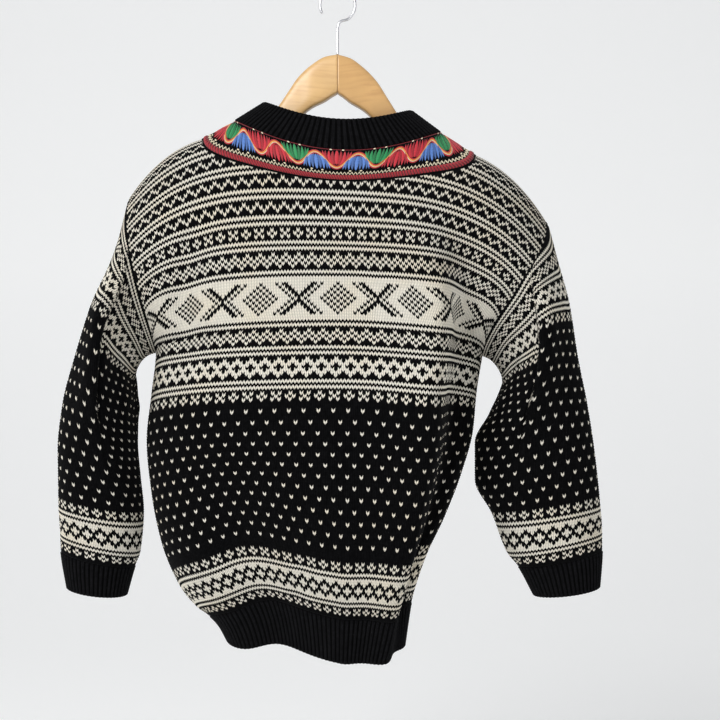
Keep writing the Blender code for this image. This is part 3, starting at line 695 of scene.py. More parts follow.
def neck_edge(turn):
    """The panels' neck cut as a loop: the back's for the turns at the back, the front's for the rest."""
    at_back = np.cos(turn) >= 0.0
    s = np.where(at_back, np.arcsin(np.sin(turn).clip(-1, 1)), np.arcsin(-np.sin(turn).clip(-1, 1)))
    s = s / (0.5 * math.pi) * NECK_STITCHES
    back = panel_field("back").sample(s + HALF_STITCHES, neck_row("back", s))[0]
    front = panel_field("front").sample(-s + HALF_STITCHES, neck_row("front", s))[0]
    return np.where(at_back[..., None], back, front)


def neck_turns(steps):
    """Turns round the neck from just past the left shoulder over the back, evenly in stitches."""
    return -0.5 * math.pi + np.arange(steps) * 2.0 * math.pi / steps


def between(outer, inner, steps):
    """A grid of straight lines from one loop to another."""
    share = np.linspace(0.0, 1.0, steps + 1)[:, None, None]
    return outer[None] * (1.0 - share) + inner[None] * share


@functools.lru_cache(maxsize=None)
def band_field():
    """The woven band: straight from the panels' neck cut to the collar's base."""
    turn = neck_turns(2 * LOOP_STEPS)
    points = between(neck_edge(turn), loop_point(COLLAR_BASE, turn), BAND_STEPS)
    return Field(points, True, np.mean(points, axis=1, keepdims=True) - np.array([0.0, 0.0, BAND_INSIDE]))


def collar_field():
    """The collar: straight from its top loop to its base."""
    turn = neck_turns(2 * LOOP_STEPS)
    points = between(loop_point(COLLAR_TOP, turn), loop_point(COLLAR_BASE, turn), COLLAR_STEPS)
    return Field(points, True, np.mean(points, axis=1, keepdims=True))


def hem_field():
    """The hem rib: the rows below the body, round back and front in one tube."""
    points = np.concatenate([panel_field("back").points[BODY_ROWS:, :-1],
                             panel_field("front").points[BODY_ROWS:, :0:-1]], axis=1)
    return Field(points, True, np.mean(points, axis=1, keepdims=True))


class Lattice:
    """Half-stitch columns and row lines of one piece: where each point lies on its field, which points
    coincide and which yarn each leg has."""

    def __init__(self, name, field, step, row, keep_column, keep_row=None, yarn=None):
        self.name, self.field, self.step, self.row = name, field, step, row
        self.keep_column = keep_column
        self.keep_row = np.full(step.shape, -1) if keep_row is None else keep_row
        self.yarn = np.zeros((step.shape[0] - 1, step.shape[1] - 1)) if yarn is None else yarn
        self.points, self.normals = field.sample(step, row)
        self.out_normals = self.normals.copy()
        self.edge = np.indices(step.shape)[0] <= self.keep_row
        self.edge[[0, -1]] = True
        if not field.closed:
            self.edge[:, [0, -1]] = True


def shifted_rows(lines, odd, last):
    """Row lines, with the middle columns of the stitches lower by a leg's slant, which eases to none at both
    edges."""
    ease = np.clip(lines, 0.0, 1.0) * np.clip((last - lines) / EDGE_LINES, 0.0, 1.0)
    return lines + LEG_SLANT * odd * ease


def panel_lattice(panel):
    """Back or front: columns at half stitches, its top lines gathered onto the neck cut. The field's rows
    over the shoulder are long, so each holds two lines."""
    last = BODY_ROWS + SHOULDER_ROWS
    lines, columns = np.indices((last + 1, int(4 * HALF_STITCHES) + 1))
    stitch = columns / 2.0 - HALF_STITCHES
    line = shifted_rows(lines, columns % 2, last)
    row = np.where(line < 2 * SHOULDER_ROWS, 0.5 * line, line - SHOULDER_ROWS)
    cut = neck_row(panel, stitch)
    cut_line = np.where(cut < SHOULDER_ROWS, 2.0 * cut, cut + SHOULDER_ROWS)
    keep_row = np.maximum(np.round(cut_line - LEG_SLANT * (columns % 2)), 0).astype(int)
    row = np.where(lines <= keep_row, cut, row)
    leg_lines, leg_columns = np.indices((last, int(4 * HALF_STITCHES)))
    yarn = yarn_rows(BODY_PLAN, leg_columns // 2 - int(HALF_STITCHES), leg_lines)
    return Lattice(panel, panel_field(panel), stitch + HALF_STITCHES, row, columns, keep_row, yarn)


def sleeve_lattice(side):
    """A sleeve: stitches of one width counted from the shoulder line, dropped one by one at the underarm."""
    field, lengths = sleeve_field(side)
    most = 2 * int(np.ceil(lengths.max() / SLEEVE_STITCH)) + 2
    lines, columns = np.indices((SLEEVE_ROWS + 1, 2 * most + 1))
    away = columns - most
    row = shifted_rows(lines, np.abs(away) % 2, SLEEVE_ROWS)
    front, back = (np.interp(row, np.arange(len(lengths)), half) for half in lengths.T)
    share = np.clip(0.5 * np.abs(away) * SLEEVE_STITCH / np.where(away < 0, front, back), 0.0, 1.0)
    limits = np.round(2.0 * lengths[:SLEEVE_ROWS + 1] / SLEEVE_STITCH).astype(int)
    low, high = most - limits[:, :1], most + limits[:, 1:]
    share = np.where((columns <= low) | (columns >= high), 1.0, np.minimum(share, NEARLY))
    step = RING_STEPS + np.sign(away) * share * RING_STEPS
    keep_column = np.clip(columns, low, high)
    keep_column = np.where(keep_column == low, high, keep_column)
    leg_lines, leg_columns = np.indices((SLEEVE_ROWS, 2 * most))
    yarn = yarn_rows(SLEEVE_PLAN, (leg_columns - most) // 2, leg_lines)
    return Lattice("sleeve_" + side, field, step, row, keep_column, None, yarn)


Rib = namedtuple("Rib", "stitches rows flat rests_on")
RIBS = {
    "neck_rib": Rib(192, COLLAR_STEPS, (0.5, 0.045), ["back", "front"]),
    "hem_rib": Rib(264, HEM_ROWS, (0.68, 0.053), ["back", "front"]),
    "cuff_right": Rib(96, CUFF_ROWS, (0.24, 0.045), ["sleeve_right"]),
    "cuff_left": Rib(96, CUFF_ROWS, (0.24, 0.045), ["sleeve_left"]),
}


def rib_lattice(name):
    """A ribbed tube: knit and purl stitches in turn, the knit ones wider."""
    rib, first_row = RIBS[name], 0.0
    if name == "neck_rib":
        field = collar_field()
    elif name == "hem_rib":
        field = hem_field()
    else:
        field, first_row = sleeve_field(name[5:])[0], float(SLEEVE_ROWS)
    lines, columns = np.indices((rib.rows + 1, 2 * rib.stitches + 1))
    pair, part = columns // 4, columns % 4
    place = np.array([0.0, 0.5 * KNIT_SHARE, KNIT_SHARE, 0.5 + 0.5 * KNIT_SHARE])[part]
    step = (pair + place) / (rib.stitches / 2) * field.points.shape[1]
    scale = (field.points.shape[0] - 1.0 - first_row) / rib.rows
    row = first_row + shifted_rows(lines, part == 1, rib.rows) * scale
    return Lattice(name, field, step, row, columns % (2 * rib.stitches))


def band_lattice():
    """The woven band's ground: a plain grid."""
    lines, columns = np.indices((BAND_STEPS + 1, 2 * LOOP_STEPS + 1))
    return Lattice("neck_band", band_field(), columns.astype(float), lines.astype(float),
                   columns % (2 * LOOP_STEPS))


@functools.lru_cache(maxsize=None)
def cloth():
    """Every cloth piece's lattice, its edge normals shared with the pieces that it meets."""
    pieces = [panel_lattice("back"), panel_lattice("front"), sleeve_lattice("right"), sleeve_lattice("left"),
              band_lattice(), *map(rib_lattice, RIBS)]
    share_edges(pieces)
    return {piece.name: piece for piece in pieces}


def share_edges(pieces):
    """Each edge point's normal becomes the mean of its own and the nearest edge normals of the pieces that it
    meets, lengthened by one over the cosine so that the wall keeps its thickness at the seam."""
    edges = [(p.points[p.edge], p.normals[p.edge]) for p in pieces]
    for piece, (points, normals) in zip(pieces, edges):
        total = normals.copy()
        least = np.ones(len(points))
        met = []
        for other, (their_points, their_normals) in zip(pieces, edges):
            if other is piece:
                continue
            low, high = their_points.min(axis=0) - MEETING, their_points.max(axis=0) + MEETING
            near = np.all((points > low) & (points < high), axis=1)
            if not near.any():
                continue
            squares = ((points[near][:, None] - their_points[None]) ** 2).sum(axis=-1)
            found = squares.argmin(axis=1)
            close = squares[np.arange(len(found)), found] < MEETING ** 2
            place = np.flatnonzero(near)[close]
            total[place] += their_normals[found[close]]
            met.append((place, their_normals[found[close]]))
        shared = unit(total)
        least = np.minimum(least, np.sum(shared * normals, axis=1))
        for place, theirs in met:
            least[place] = np.minimum(least[place], np.sum(shared[place] * theirs, axis=1))
        piece.out_normals[piece.edge] = shared / np.maximum(least, MITRE_LIMIT)[:, None]


def make_mesh(name, verts, tris, corner_uv, colours=None):
    """A triangle mesh with a UV map and a colour for each corner, from arrays, without unused points."""
    used, faces = np.unique(tris, return_inverse=True)
    faces = faces.reshape(-1, 3)
    verts = verts[used]
    mesh = bpy.data.meshes.new(name)
    mesh.vertices.add(len(verts))
    mesh.vertices.foreach_set("co", verts.astype(np.float32).ravel())
    mesh.loops.add(faces.size)
    mesh.loops.foreach_set("vertex_index", faces.astype(np.int32).ravel())
    mesh.polygons.add(len(faces))
    mesh.polygons.foreach_set("loop_start", np.arange(0, faces.size, 3, dtype=np.int32))
    mesh.update(calc_edges=True)
    uv = mesh.uv_layers.new(name="Stitches")
    uv.data.foreach_set("uv", corner_uv.astype(np.float32).ravel())
    if colours is not None:
        # Each corner's colour: yarn or thread colour, with what the materials need for painted shade in
        # grooves
        layer = mesh.color_attributes.new("Yarn_and_shade", "FLOAT_COLOR", "CORNER")
        rgba = np.concatenate([colours, np.ones(colours.shape[:2] + (1,))], axis=2)
        layer.data.foreach_set("color", rgba.astype(np.float32).ravel())
    mesh.shade_smooth()
    mesh.validate()
    obj = bpy.data.objects.new(name, mesh)
    bpy.context.scene.collection.objects.link(obj)
    return obj


def facing_way(verts, tris, facing):
    """1 where a shape's triangles face the given ways on the whole, and -1 where they face back."""
    a, b, c = verts[tris[:, 0]], verts[tris[:, 1]], verts[tris[:, 2]]
    return 1 if np.sum(np.cross(b - a, c - a) * facing[tris].sum(axis=1)) > 0.0 else -1


def distinct(tris):
    """True for the triangles that have three different points."""
    return (tris[:, 0] != tris[:, 1]) & (tris[:, 1] != tris[:, 2]) & (tris[:, 2] != tris[:, 0])


def corners(grid):
    """The four corners of each cell of a grid, in order round the cell."""
    return [grid[:-1, :-1], grid[1:, :-1], grid[1:, 1:], grid[:-1, 1:]]


def tube_tris(ids, nexts):
    """Two triangles for each cell between rings of points and the next rings."""
    ends, next_ends = np.roll(ids, -1, axis=-1), np.roll(nexts, -1, axis=-1)
    tris = np.concatenate([np.stack([ids, nexts, next_ends], axis=-1).reshape(-1, 3),
                           np.stack([ids, next_ends, ends], axis=-1).reshape(-1, 3)])
    return tris[distinct(tris)]


def knit_object(lattice, heights, inner_height, inner_lines):
    """A closed knitted wall. Outside, each stitch is two slanted legs: four corners in the grooves and a
    raised middle, so four triangles a leg. Inside is a plain coarser grid, and rims close the edges."""
    valley, ridge = heights
    rows, columns = ridge.shape
    lines, cols = np.indices(valley.shape)
    ids = np.maximum(lines, lattice.keep_row) * (columns + 1) + lattice.keep_column
    points, normals = lattice.points, lattice.out_normals
    leg_points, leg_normals = lattice.field.sample(0.25 * sum(corners(lattice.step)),
                                                   0.25 * sum(corners(lattice.row)))
    outer = points + normals * valley[..., None]
    legs = leg_points + leg_normals * ridge[..., None]
    verts = np.concatenate([part.reshape(-1, 3) for part in (outer, legs, points - normals * inner_height)])
    facing = np.concatenate([part.reshape(-1, 3) for part in (normals, leg_normals, -normals)])
    inner_base = ids.size + ridge.size
    inner_rows = np.unique(np.append(np.arange(0, rows, inner_lines), rows))
    inner_cols = np.arange(0, columns + 1, INNER_COLUMNS)
    low, high = valley.min(), max(ridge.max(), valley.min() + 1e-9)

    # Red: cream or black yarn; blue: how high a place stands over the grooves, which the material turns into
    # painted shade in the grooves
    def yarn_and_shade_colour(height):
        raised = np.clip((height - low) / (high - low), 0.0, 1.0)
        return np.stack([lattice.yarn, 0 * lattice.yarn, raised], axis=-1)

    rings = corners(ids)
    whole = np.count_nonzero(np.diff(np.sort(np.stack(rings, axis=-1), axis=-1), axis=-1), axis=-1) >= 2
    centre = ids.size + np.arange(ridge.size).reshape(ridge.shape)
    places = [np.stack(pair, axis=-1) for pair in zip(corners(cols), corners(lines))]
    tones = [yarn_and_shade_colour(height) for height in corners(valley)]
    tris, uvs, colours = [], [], []
    for k in range(4):
        j = (k + 1) % 4
        keep = whole & (rings[k] != rings[j])
        tris.append(np.stack([centre, rings[k], rings[j]], axis=-1)[keep])
        uvs.append(np.stack([places[0] + 0.5, places[k], places[j]], axis=-2)[keep])
        colours.append(np.stack([yarn_and_shade_colour(ridge), tones[k], tones[j]], axis=-2)[keep])

    def add(found, uv, turned):
        keep = distinct(found)
        way = -1 if turned else 1
        tris.append(found[keep][:, ::way])
        uvs.append(uv[keep][:, ::way])
        # The wrong side and the rims: green marks the wrong side, and blue 1 gives them no painted groove
        # shade
        colours.append(np.tile([0.0, 1.0, 1.0], (int(keep.sum()), 3, 1)))

    def inner_id(line, col):
        line, col = np.asarray(line), np.asarray(col)
        first = np.searchsorted(inner_rows, lattice.keep_row[0, col], side="right") - 1
        kept = inner_rows[np.maximum(np.searchsorted(inner_rows, line), np.maximum(first, 0))]
        return inner_base + kept * (columns + 1) + lattice.keep_column[line, col]

    grid_l, grid_c = np.meshgrid(inner_rows, inner_cols, indexing="ij")
    quad = [part.ravel() for part in corners(inner_id(grid_l, grid_c))]
    quad_uv = [np.stack([c.ravel(), l.ravel()], axis=-1) for c, l in zip(corners(grid_c), corners(grid_l))]
    for half in ((0, 1, 2), (0, 2, 3)):
        add(np.stack([quad[i] for i in half], axis=-1), np.stack([quad_uv[i] for i in half], axis=-2), True)

    def rim(chains, ends, turned):
        """Fans between a chain of outer points and the inner edge under it: chains are outer id arrays."""
        inner_a, inner_b = ends
        zero = np.zeros((len(inner_a), 3, 2))
        for one, two in [*zip(chains[:-1], chains[1:]), (chains[-1], inner_b)]:
            add(np.stack([inner_a, one, two], axis=-1), zero, turned)

    for line in (0, rows):
        c0 = inner_cols[:-1]
        chains = [ids[line, c0 + k] for k in range(INNER_COLUMNS + 1)]
        ends = inner_id(np.full_like(c0, line), c0), inner_id(np.full_like(c0, line), c0 + INNER_COLUMNS)
        rim(chains, ends, line > 0)
    if not lattice.field.closed:
        for col in (0, columns):
            l0, l1 = inner_rows[:-1], inner_rows[1:]
            steps = int((l1 - l0).max())
            chains = [ids[np.minimum(l0 + k, l1), col] for k in range(steps + 1)]
            cc = np.full_like(l0, col)
            rim(chains, (inner_id(l0, cc), inner_id(l1, cc)), col == 0)
    tris, uvs, colours = np.concatenate(tris), np.concatenate(uvs), np.concatenate(colours)
    way = facing_way(verts, tris, facing)
    tris, uvs, colours = tris[:, ::way], uvs[:, ::way], colours[:, ::way]
    uvs = uvs * np.array([1.0, -2.0]) * LEG_UV
    return make_mesh(lattice.name, verts, tris, uvs, colours)


@functools.lru_cache(maxsize=None)
def band_length():
    """How far along the band's middle each of its steps lies, all round from the start, in metres."""
    line = band_field().points[BAND_STEPS // 2]
    steps = np.linalg.norm(np.roll(line, -1, axis=0) - line, axis=1)
    return np.concatenate([[0.0], np.cumsum(steps)])


def band_place(along, share, height):
    """A point over the band: along its middle from the centre back, across by share, and up from its face."""
    lengths = band_length()
    start = np.interp(0.25 * (len(lengths) - 1), np.arange(len(lengths)), lengths)
    step = np.interp(np.mod(along + start, lengths[-1]), lengths, np.arange(len(lengths)))
    points, normals = band_field().sample(step, BAND_STEPS * np.clip(share, 0.0, 1.0))
    return points + normals * (0.5 * BAND_WALL + height)[..., None]


def strand_object(name, along, across, half, lift, colours, closed, sides=8):
    """Threads on the band. Each strand follows a line of points along and across it, in metres, with a
    section that is half wide to each side, lift high over the face and a little of it under: an ellipse, in
    loops round the whole neck where closed, and else drawn to a point at both ends."""
    count, length = along.shape
    if closed:
        total = band_length()[-1]
        slope_a = np.mod(np.roll(along, -1, 1) - np.roll(along, 1, 1) + 0.5 * total, total) - 0.5 * total
        slope_b = np.roll(across, -1, 1) - np.roll(across, 1, 1)
    else:
        slope_a, slope_b = np.gradient(along, axis=1), np.gradient(across, axis=1)
    size = np.maximum(np.hypot(slope_a, slope_b), 1e-9)
    side_a, side_b = -slope_b / size, slope_a / size
    angle = np.arange(sides) * 2.0 * math.pi / sides
    wide = half[..., None] * np.cos(angle)
    a = along[..., None] + side_a[..., None] * wide
    b = across[..., None] + side_b[..., None] * wide
    up = np.sin(angle)
    height = lift[..., None] * np.where(up >= 0.0, up, SUNK * up)
    verts = band_place(a, BAND_MIDDLE + b / BAND_WIDTH, height)
    ids = np.arange(count * length * sides).reshape(count, length, sides)
    if not closed:
        ids[:, 0], ids[:, -1] = ids[:, 0, :1], ids[:, -1, :1]
    tris = tube_tris(ids if closed else ids[:, :-1], np.roll(ids, -1, axis=1) if closed else ids[:, 1:])
    middle = verts.mean(axis=2, keepdims=True)
    facing = (verts - middle).reshape(-1, 3)
    run = np.cumsum(np.concatenate([np.zeros((count, 1)), size[:, 1:]], axis=1), axis=1)
    uv = np.stack([np.broadcast_to(run[..., None], verts.shape[:3]),
                   np.broadcast_to(np.cos(angle) * MM, verts.shape[:3])], axis=-1).reshape(-1, 2)
    verts = verts.reshape(-1, 3)
    tris = tris[:, ::facing_way(verts, tris, facing)]
    if colours.ndim == 2:
        colours = colours[:, None, None, :]
    tones = np.broadcast_to(colours, ids.shape + (3,)).reshape(-1, 3)
    return make_mesh(name, verts, tris, uv[tris], tones[tris])


def set_socket(node, name, value):
    """Sets a shader's own socket."""
    node.inputs[name].default_value = value


def new_material(name, roughness, sheen=0.0, metallic=0.0):
    """A Principled material and its tree, ready for nodes."""
    material = bpy.data.materials.new(name)
    material.use_nodes = True
    tree = material.node_tree
    shader = tree.nodes["Principled BSDF"]
    set_socket(shader, "Roughness", roughness)
    set_socket(shader, "Metallic", metallic)
    set_socket(shader, "Sheen Weight", sheen)
    return material, tree, shader


def add_node(tree, kind, inputs, **settings):
    """A shader node, with a link to each input that is given a socket and a value for each other one."""
    node = tree.nodes.new("ShaderNode" + kind)
    for name, value in settings.items():
        setattr(node, name, value)
    for key, value in inputs.items():
        if isinstance(value, bpy.types.NodeSocket):
            tree.links.new(value, node.inputs[key])
        else:
            node.inputs[key].default_value = value
    return node


def mix_colours(tree, factor, one, two):
    """A colour mix of two colours or sockets by a factor socket."""
    one, two = (side if isinstance(side, bpy.types.NodeSocket) else (*side, 1.0) for side in (one, two))
    return add_node(tree, "Mix", {"Factor": factor, 6: one, 7: two}, data_type="RGBA").outputs[2]


def noise(tree, coordinates, scale, detail=3.0):
    """A noise texture on given coordinates."""
    inputs = {"Vector": coordinates, "Scale": scale, "Detail": detail, "Roughness": 0.6}
    return add_node(tree, "TexNoise", inputs).outputs["Fac"]


def remap(tree, value, low, high, to_low, to_high):
    """A value moved from one range to another."""
    inputs = {"Value": value, "From Min": low, "From Max": high, "To Min": to_low, "To Max": to_high}
    return add_node(tree, "MapRange", inputs).outputs["Result"]


def scaled(tree, coordinates, scale):
    """Coordinates stretched by three factors."""
    return add_node(tree, "Mapping", {"Vector": coordinates, "Scale": scale}).outputs["Vector"]


def shade(tree, shader, colour, brightness):
    """Gives the surface a colour socket times a brightness socket."""
    node = add_node(tree, "VectorMath", {0: colour, "Scale": brightness}, operation="SCALE")
    tree.links.new(node.outputs["Vector"], shader.inputs["Base Color"])


def bump(tree, shader, height, strength, distance):
    """Raises the surface by a height socket."""
    node = add_node(tree, "Bump", {"Height": height, "Strength": strength, "Distance": distance})
    tree.links.new(node.outputs["Normal"], shader.inputs["Normal"])


def yarn_and_shade_attribute(tree):
    """The colour that each corner of a cloth or thread carries: yarn or thread colour, and the height share
    for painted shade in the grooves of the knitting.
    """
    return add_node(tree, "Attribute", {}, attribute_name="Yarn_and_shade").outputs["Color"]


def knit_material(name, cream, black, inside, groove):
    """Wool yarns: the colour attribute's red picks cream or black, its green the wrong side and its blue how
    high a place stands over the grooves. Painted shade darkens the grooves and the lines between legs. The
    tones are heathered, with random warmer patches that are partly painted shade, with fibres and a dull
    sheen."""
    material, tree, shader = new_material(name, 0.95, 0.02)
    set_socket(shader, "Sheen Roughness", 0.5)
    set_socket(shader, "Specular IOR Level", 0.035)
    where = tree.nodes.new("ShaderNodeTexCoord")
    parts = add_node(tree, "SeparateColor", {"Color": yarn_and_shade_attribute(tree)})
    heather = noise(tree, where.outputs["Object"], 260.0, 4.0)
    soft = noise(tree, where.outputs["Object"], 14.0)
    pale = tuple(0.86 * c for c in cream)
    cream_tone = mix_colours(tree, remap(tree, heather, 0.3, 0.7, 0.0, 1.0), pale, cream)
    # Random patches of warmer, darker cream: partly the wool's tone, partly painted shade for the light's
    # changes over the cloth
    warm_tone_and_painted_shade = tuple(c * k for c, k in zip(cream, (0.95, 0.88, 0.76)))
    cream_tone = mix_colours(tree, remap(tree, soft, 0.45, 0.75, 0.0, 0.7), cream_tone, warm_tone_and_painted_shade)
    black_light = tuple(2.2 * c + 0.0012 for c in black)
    black_tone = mix_colours(tree, remap(tree, heather, 0.35, 0.75, 0.0, 1.0), black, black_light)
    colour = mix_colours(tree, parts.outputs["Red"], black_tone, cream_tone)
    floats = noise(tree, scaled(tree, where.outputs["UV"], (60.0, 420.0, 1.0)), 1.0, 2.0)
    inside_tone = mix_colours(tree, remap(tree, floats, 0.42, 0.58, 0.0, 1.0), black, inside)
    colour = mix_colours(tree, parts.outputs["Green"], colour, inside_tone)
    # Painted shade: the grooves, low in the blue channel, are darkened to the groove factor's brightness
    groove_painted_shade = remap(tree, parts.outputs["Blue"], 0.0, 0.75, groove, 1.0)
    # Painted shade: each leg darkens towards its sides, where the lines between legs lie
    legs = scaled(tree, where.outputs["UV"], (1.0 / LEG_UV, 1.0, 1.0))
    across = add_node(tree, "SeparateXYZ", {"Vector": legs}).outputs["X"]
    from_side = add_node(tree, "Math", {0: across, 1: 0.5}, operation="PINGPONG").outputs["Value"]
    sides = remap(tree, from_side, 0.02, 0.2, LEG_SIDE_PAINTED_SHADE, 1.0)
    # Both painted shades together darken the yarn's colour
    both = add_node(tree, "Math", {0: groove_painted_shade, 1: sides}, operation="MULTIPLY").outputs["Value"]
    shade(tree, shader, colour, both)
    fibres = noise(tree, scaled(tree, where.outputs["UV"], (900.0, 500.0, 1.0)), 1.0)
    bump(tree, shader, fibres, 0.5, 0.0006)
    return material


def finish(obj, node, material):
    """Gives a piece its material and slot, and lets it ride on the body in place of its solid."""
    obj.data.materials.clear()
    obj.data.materials.append(material)
    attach(obj, BODY)
    if node:
        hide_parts(node)


def plain_heights(lattice, settings):
    """Heights over the cloth's middle for the grooves and for the legs."""
    return (np.full(lattice.step.shape, settings.groove_height),
            np.full(lattice.yarn.shape, settings.leg_height))


def rib_heights(lattice, rib):
    """Heights of a rib: the knit stitch stands up, its middle a little lower, and the purl stitch is deep."""
    base = 0.5 * (WALL - RIB_HEIGHT)
    part = np.indices(lattice.step.shape)[1] % 4
    valley = base + rib * np.array(RIB_GROOVES)[part]
    sewn, free = (-1, 0) if lattice.name == "neck_rib" else (0, -1)
    valley[sewn] = SEAM_HEIGHT
    valley[free] = FREE_EDGE[0] * valley[free] + FREE_EDGE[1] * rib
    return valley, base + rib * np.array(RIB_LEGS)[part[:-1, :-1]]


class SWEATER_PG_knit(bpy.types.PropertyGroup):
    """Sizes and colours of the knitting."""
    cream: bpy.props.FloatVectorProperty(
        name="Cream", description="Colour of the cream yarn", subtype="COLOR",
        default=(0.86, 0.815, 0.71), min=0.0, max=1.0)
    black: bpy.props.FloatVectorProperty(
        name="Black", description="Colour of the black yarn", subtype="COLOR",
        default=(0.0020, 0.0020, 0.0023), min=0.0, max=1.0)
    inside: bpy.props.FloatVectorProperty(
        name="Inside", description="Colour of the cream floats on the wrong side", subtype="COLOR",
        default=(0.42, 0.39, 0.33), min=0.0, max=1.0)
    groove_height: bpy.props.FloatProperty(
        name="Groove height", description="Height of the grooves between legs over the cloth's middle",
        default=0.9 * MM, unit="LENGTH")
    leg_height: bpy.props.FloatProperty(
        name="Leg height", description="Height of a stitch's legs over the cloth's middle",
        default=1.9 * MM, unit="LENGTH")
    # Painted shade in the grooves between stitches: how bright they are
    groove: bpy.props.FloatProperty(
        name="Groove shade", description="How bright the grooves between stitches are, beside the legs",
        default=0.72, min=0.0, max=1.0)
    # Painted shade in the grooves between ribs: how bright they are
    rib_groove_painted_shade: bpy.props.FloatProperty(
        name="Rib groove shade", description="How bright the grooves between ribs are, beside the ribs",
        default=0.06, min=0.0, max=1.0)
    rib_height: bpy.props.FloatProperty(
        name="Rib height", description="How far a rib's knit stitches stand up",
        default=1.7 * MM, unit="LENGTH")


class SWEATER_PG_hanger(bpy.types.PropertyGroup):
    """Colours of the hanger."""
    wood: bpy.props.FloatVectorProperty(
        name="Wood", description="Colour of the pale wood", subtype="COLOR",
        default=(0.60, 0.375, 0.155), min=0.0, max=1.0)
    grain: bpy.props.FloatVectorProperty(
        name="Grain", description="Colour of the wood's darker lines", subtype="COLOR",
        default=(0.41, 0.205, 0.07), min=0.0, max=1.0)
    metal: bpy.props.FloatVectorProperty(
        name="Metal", description="Colour of the hook", subtype="COLOR",
        default=(0.72, 0.72, 0.74), min=0.0, max=1.0)


class SWEATER_PG_stage(bpy.types.PropertyGroup):
    """Camera, backdrop and light."""
    lens: bpy.props.FloatProperty(
        name="Lens", description="Focal length in millimetres", default=60.27, min=10.0, max=200.0)
    distance: bpy.props.FloatProperty(
        name="Distance", description="How far in front of the hook's plane the camera stands",
        default=1.416, unit="LENGTH")
    glow: bpy.props.FloatProperty(
        name="Backdrop glow", description="How much light the paper gives off",
        default=0.16, min=0.0, max=2.0)
    light: bpy.props.FloatProperty(
        name="Key light", description="Power of the large soft light", default=48.0, unit="POWER")


class SWEATER_OT_body(bpy.types.Operator):
    """Knit the back and the front"""
    bl_idname = "sweater.body"
    bl_label = "Knit the body"

    def execute(self, context):
        knit = context.scene.sweater_knit
        material = knit_material("two_colour_knit", knit.cream, knit.black, knit.inside, knit.groove)
        for name in ("back", "front"):
            lattice = cloth()[name]
            piece = knit_object(lattice, plain_heights(lattice, knit), 0.5 * WALL, 2)
            piece.name = "knitted_" + name
            finish(piece, name, material)
        return {"FINISHED"}


class SWEATER_OT_sleeves(bpy.types.Operator):
    """Knit both sleeves"""
    bl_idname = "sweater.sleeves"
    bl_label = "Knit the sleeves"

    def execute(self, context):
        knit = context.scene.sweater_knit
        material = knit_material("two_colour_sleeve", knit.cream, knit.black, knit.inside, knit.groove)
        for side in ("right", "left"):
            lattice = cloth()["sleeve_" + side]
            piece = knit_object(lattice, plain_heights(lattice, knit), 0.5 * WALL, 3)
            piece.name = "knitted_sleeve_" + side
            finish(piece, "sleeve_" + side, material)
        return {"FINISHED"}


class SWEATER_OT_ribs(bpy.types.Operator):
    """Knit the collar, the hem and the cuffs in black rib"""
    bl_idname = "sweater.ribs"
    bl_label = "Knit the ribs"

    def execute(self, context):
        knit = context.scene.sweater_knit
        # Painted light: the ribs' black yarn is lifted 1.9 times over the body's, a lighter copy that stands
        # in for light on the ribs' ridges, while their grooves get deep painted shade
        black = tuple(1.9 * c for c in knit.black)
        material = knit_material("black_rib", knit.cream, black, black, knit.rib_groove_painted_shade)
        for name, rib in RIBS.items():
            lattice = cloth()[name]
            heights = rib_heights(lattice, knit.rib_height)
            piece = knit_object(lattice, heights, 0.5 * (WALL - RIB_HEIGHT), 1)
            piece.name = "ribbed_" + name
            finish(piece, name, material)
        return {"FINISHED"}


def swept_object(name, rings):
    """A closed surface over rings of points, sections by points round them. The first and the last section
    are the points that the ends are drawn to."""
    sections, around = rings.shape[:2]
    ids = np.arange(sections * around).reshape(sections, around)
    ids[0], ids[-1] = ids[0, 0], ids[-1, 0]
    tris = tube_tris(ids[:-1], ids[1:])
    facing = (rings - rings.mean(axis=1, keepdims=True)).reshape(-1, 3)
    run = np.concatenate([[0.0], np.cumsum(np.linalg.norm(np.diff(rings.mean(axis=1), axis=0), axis=1))])
    turn = np.linspace(0.0, 0.1, around)
    uv = np.stack(np.broadcast_arrays(run[:, None], turn[None, :]), axis=-1).reshape(-1, 2)
    verts = rings.reshape(-1, 3)
    tris = tris[:, ::facing_way(verts, tris, facing)]
    return make_mesh(name, verts, tris, uv[tris])


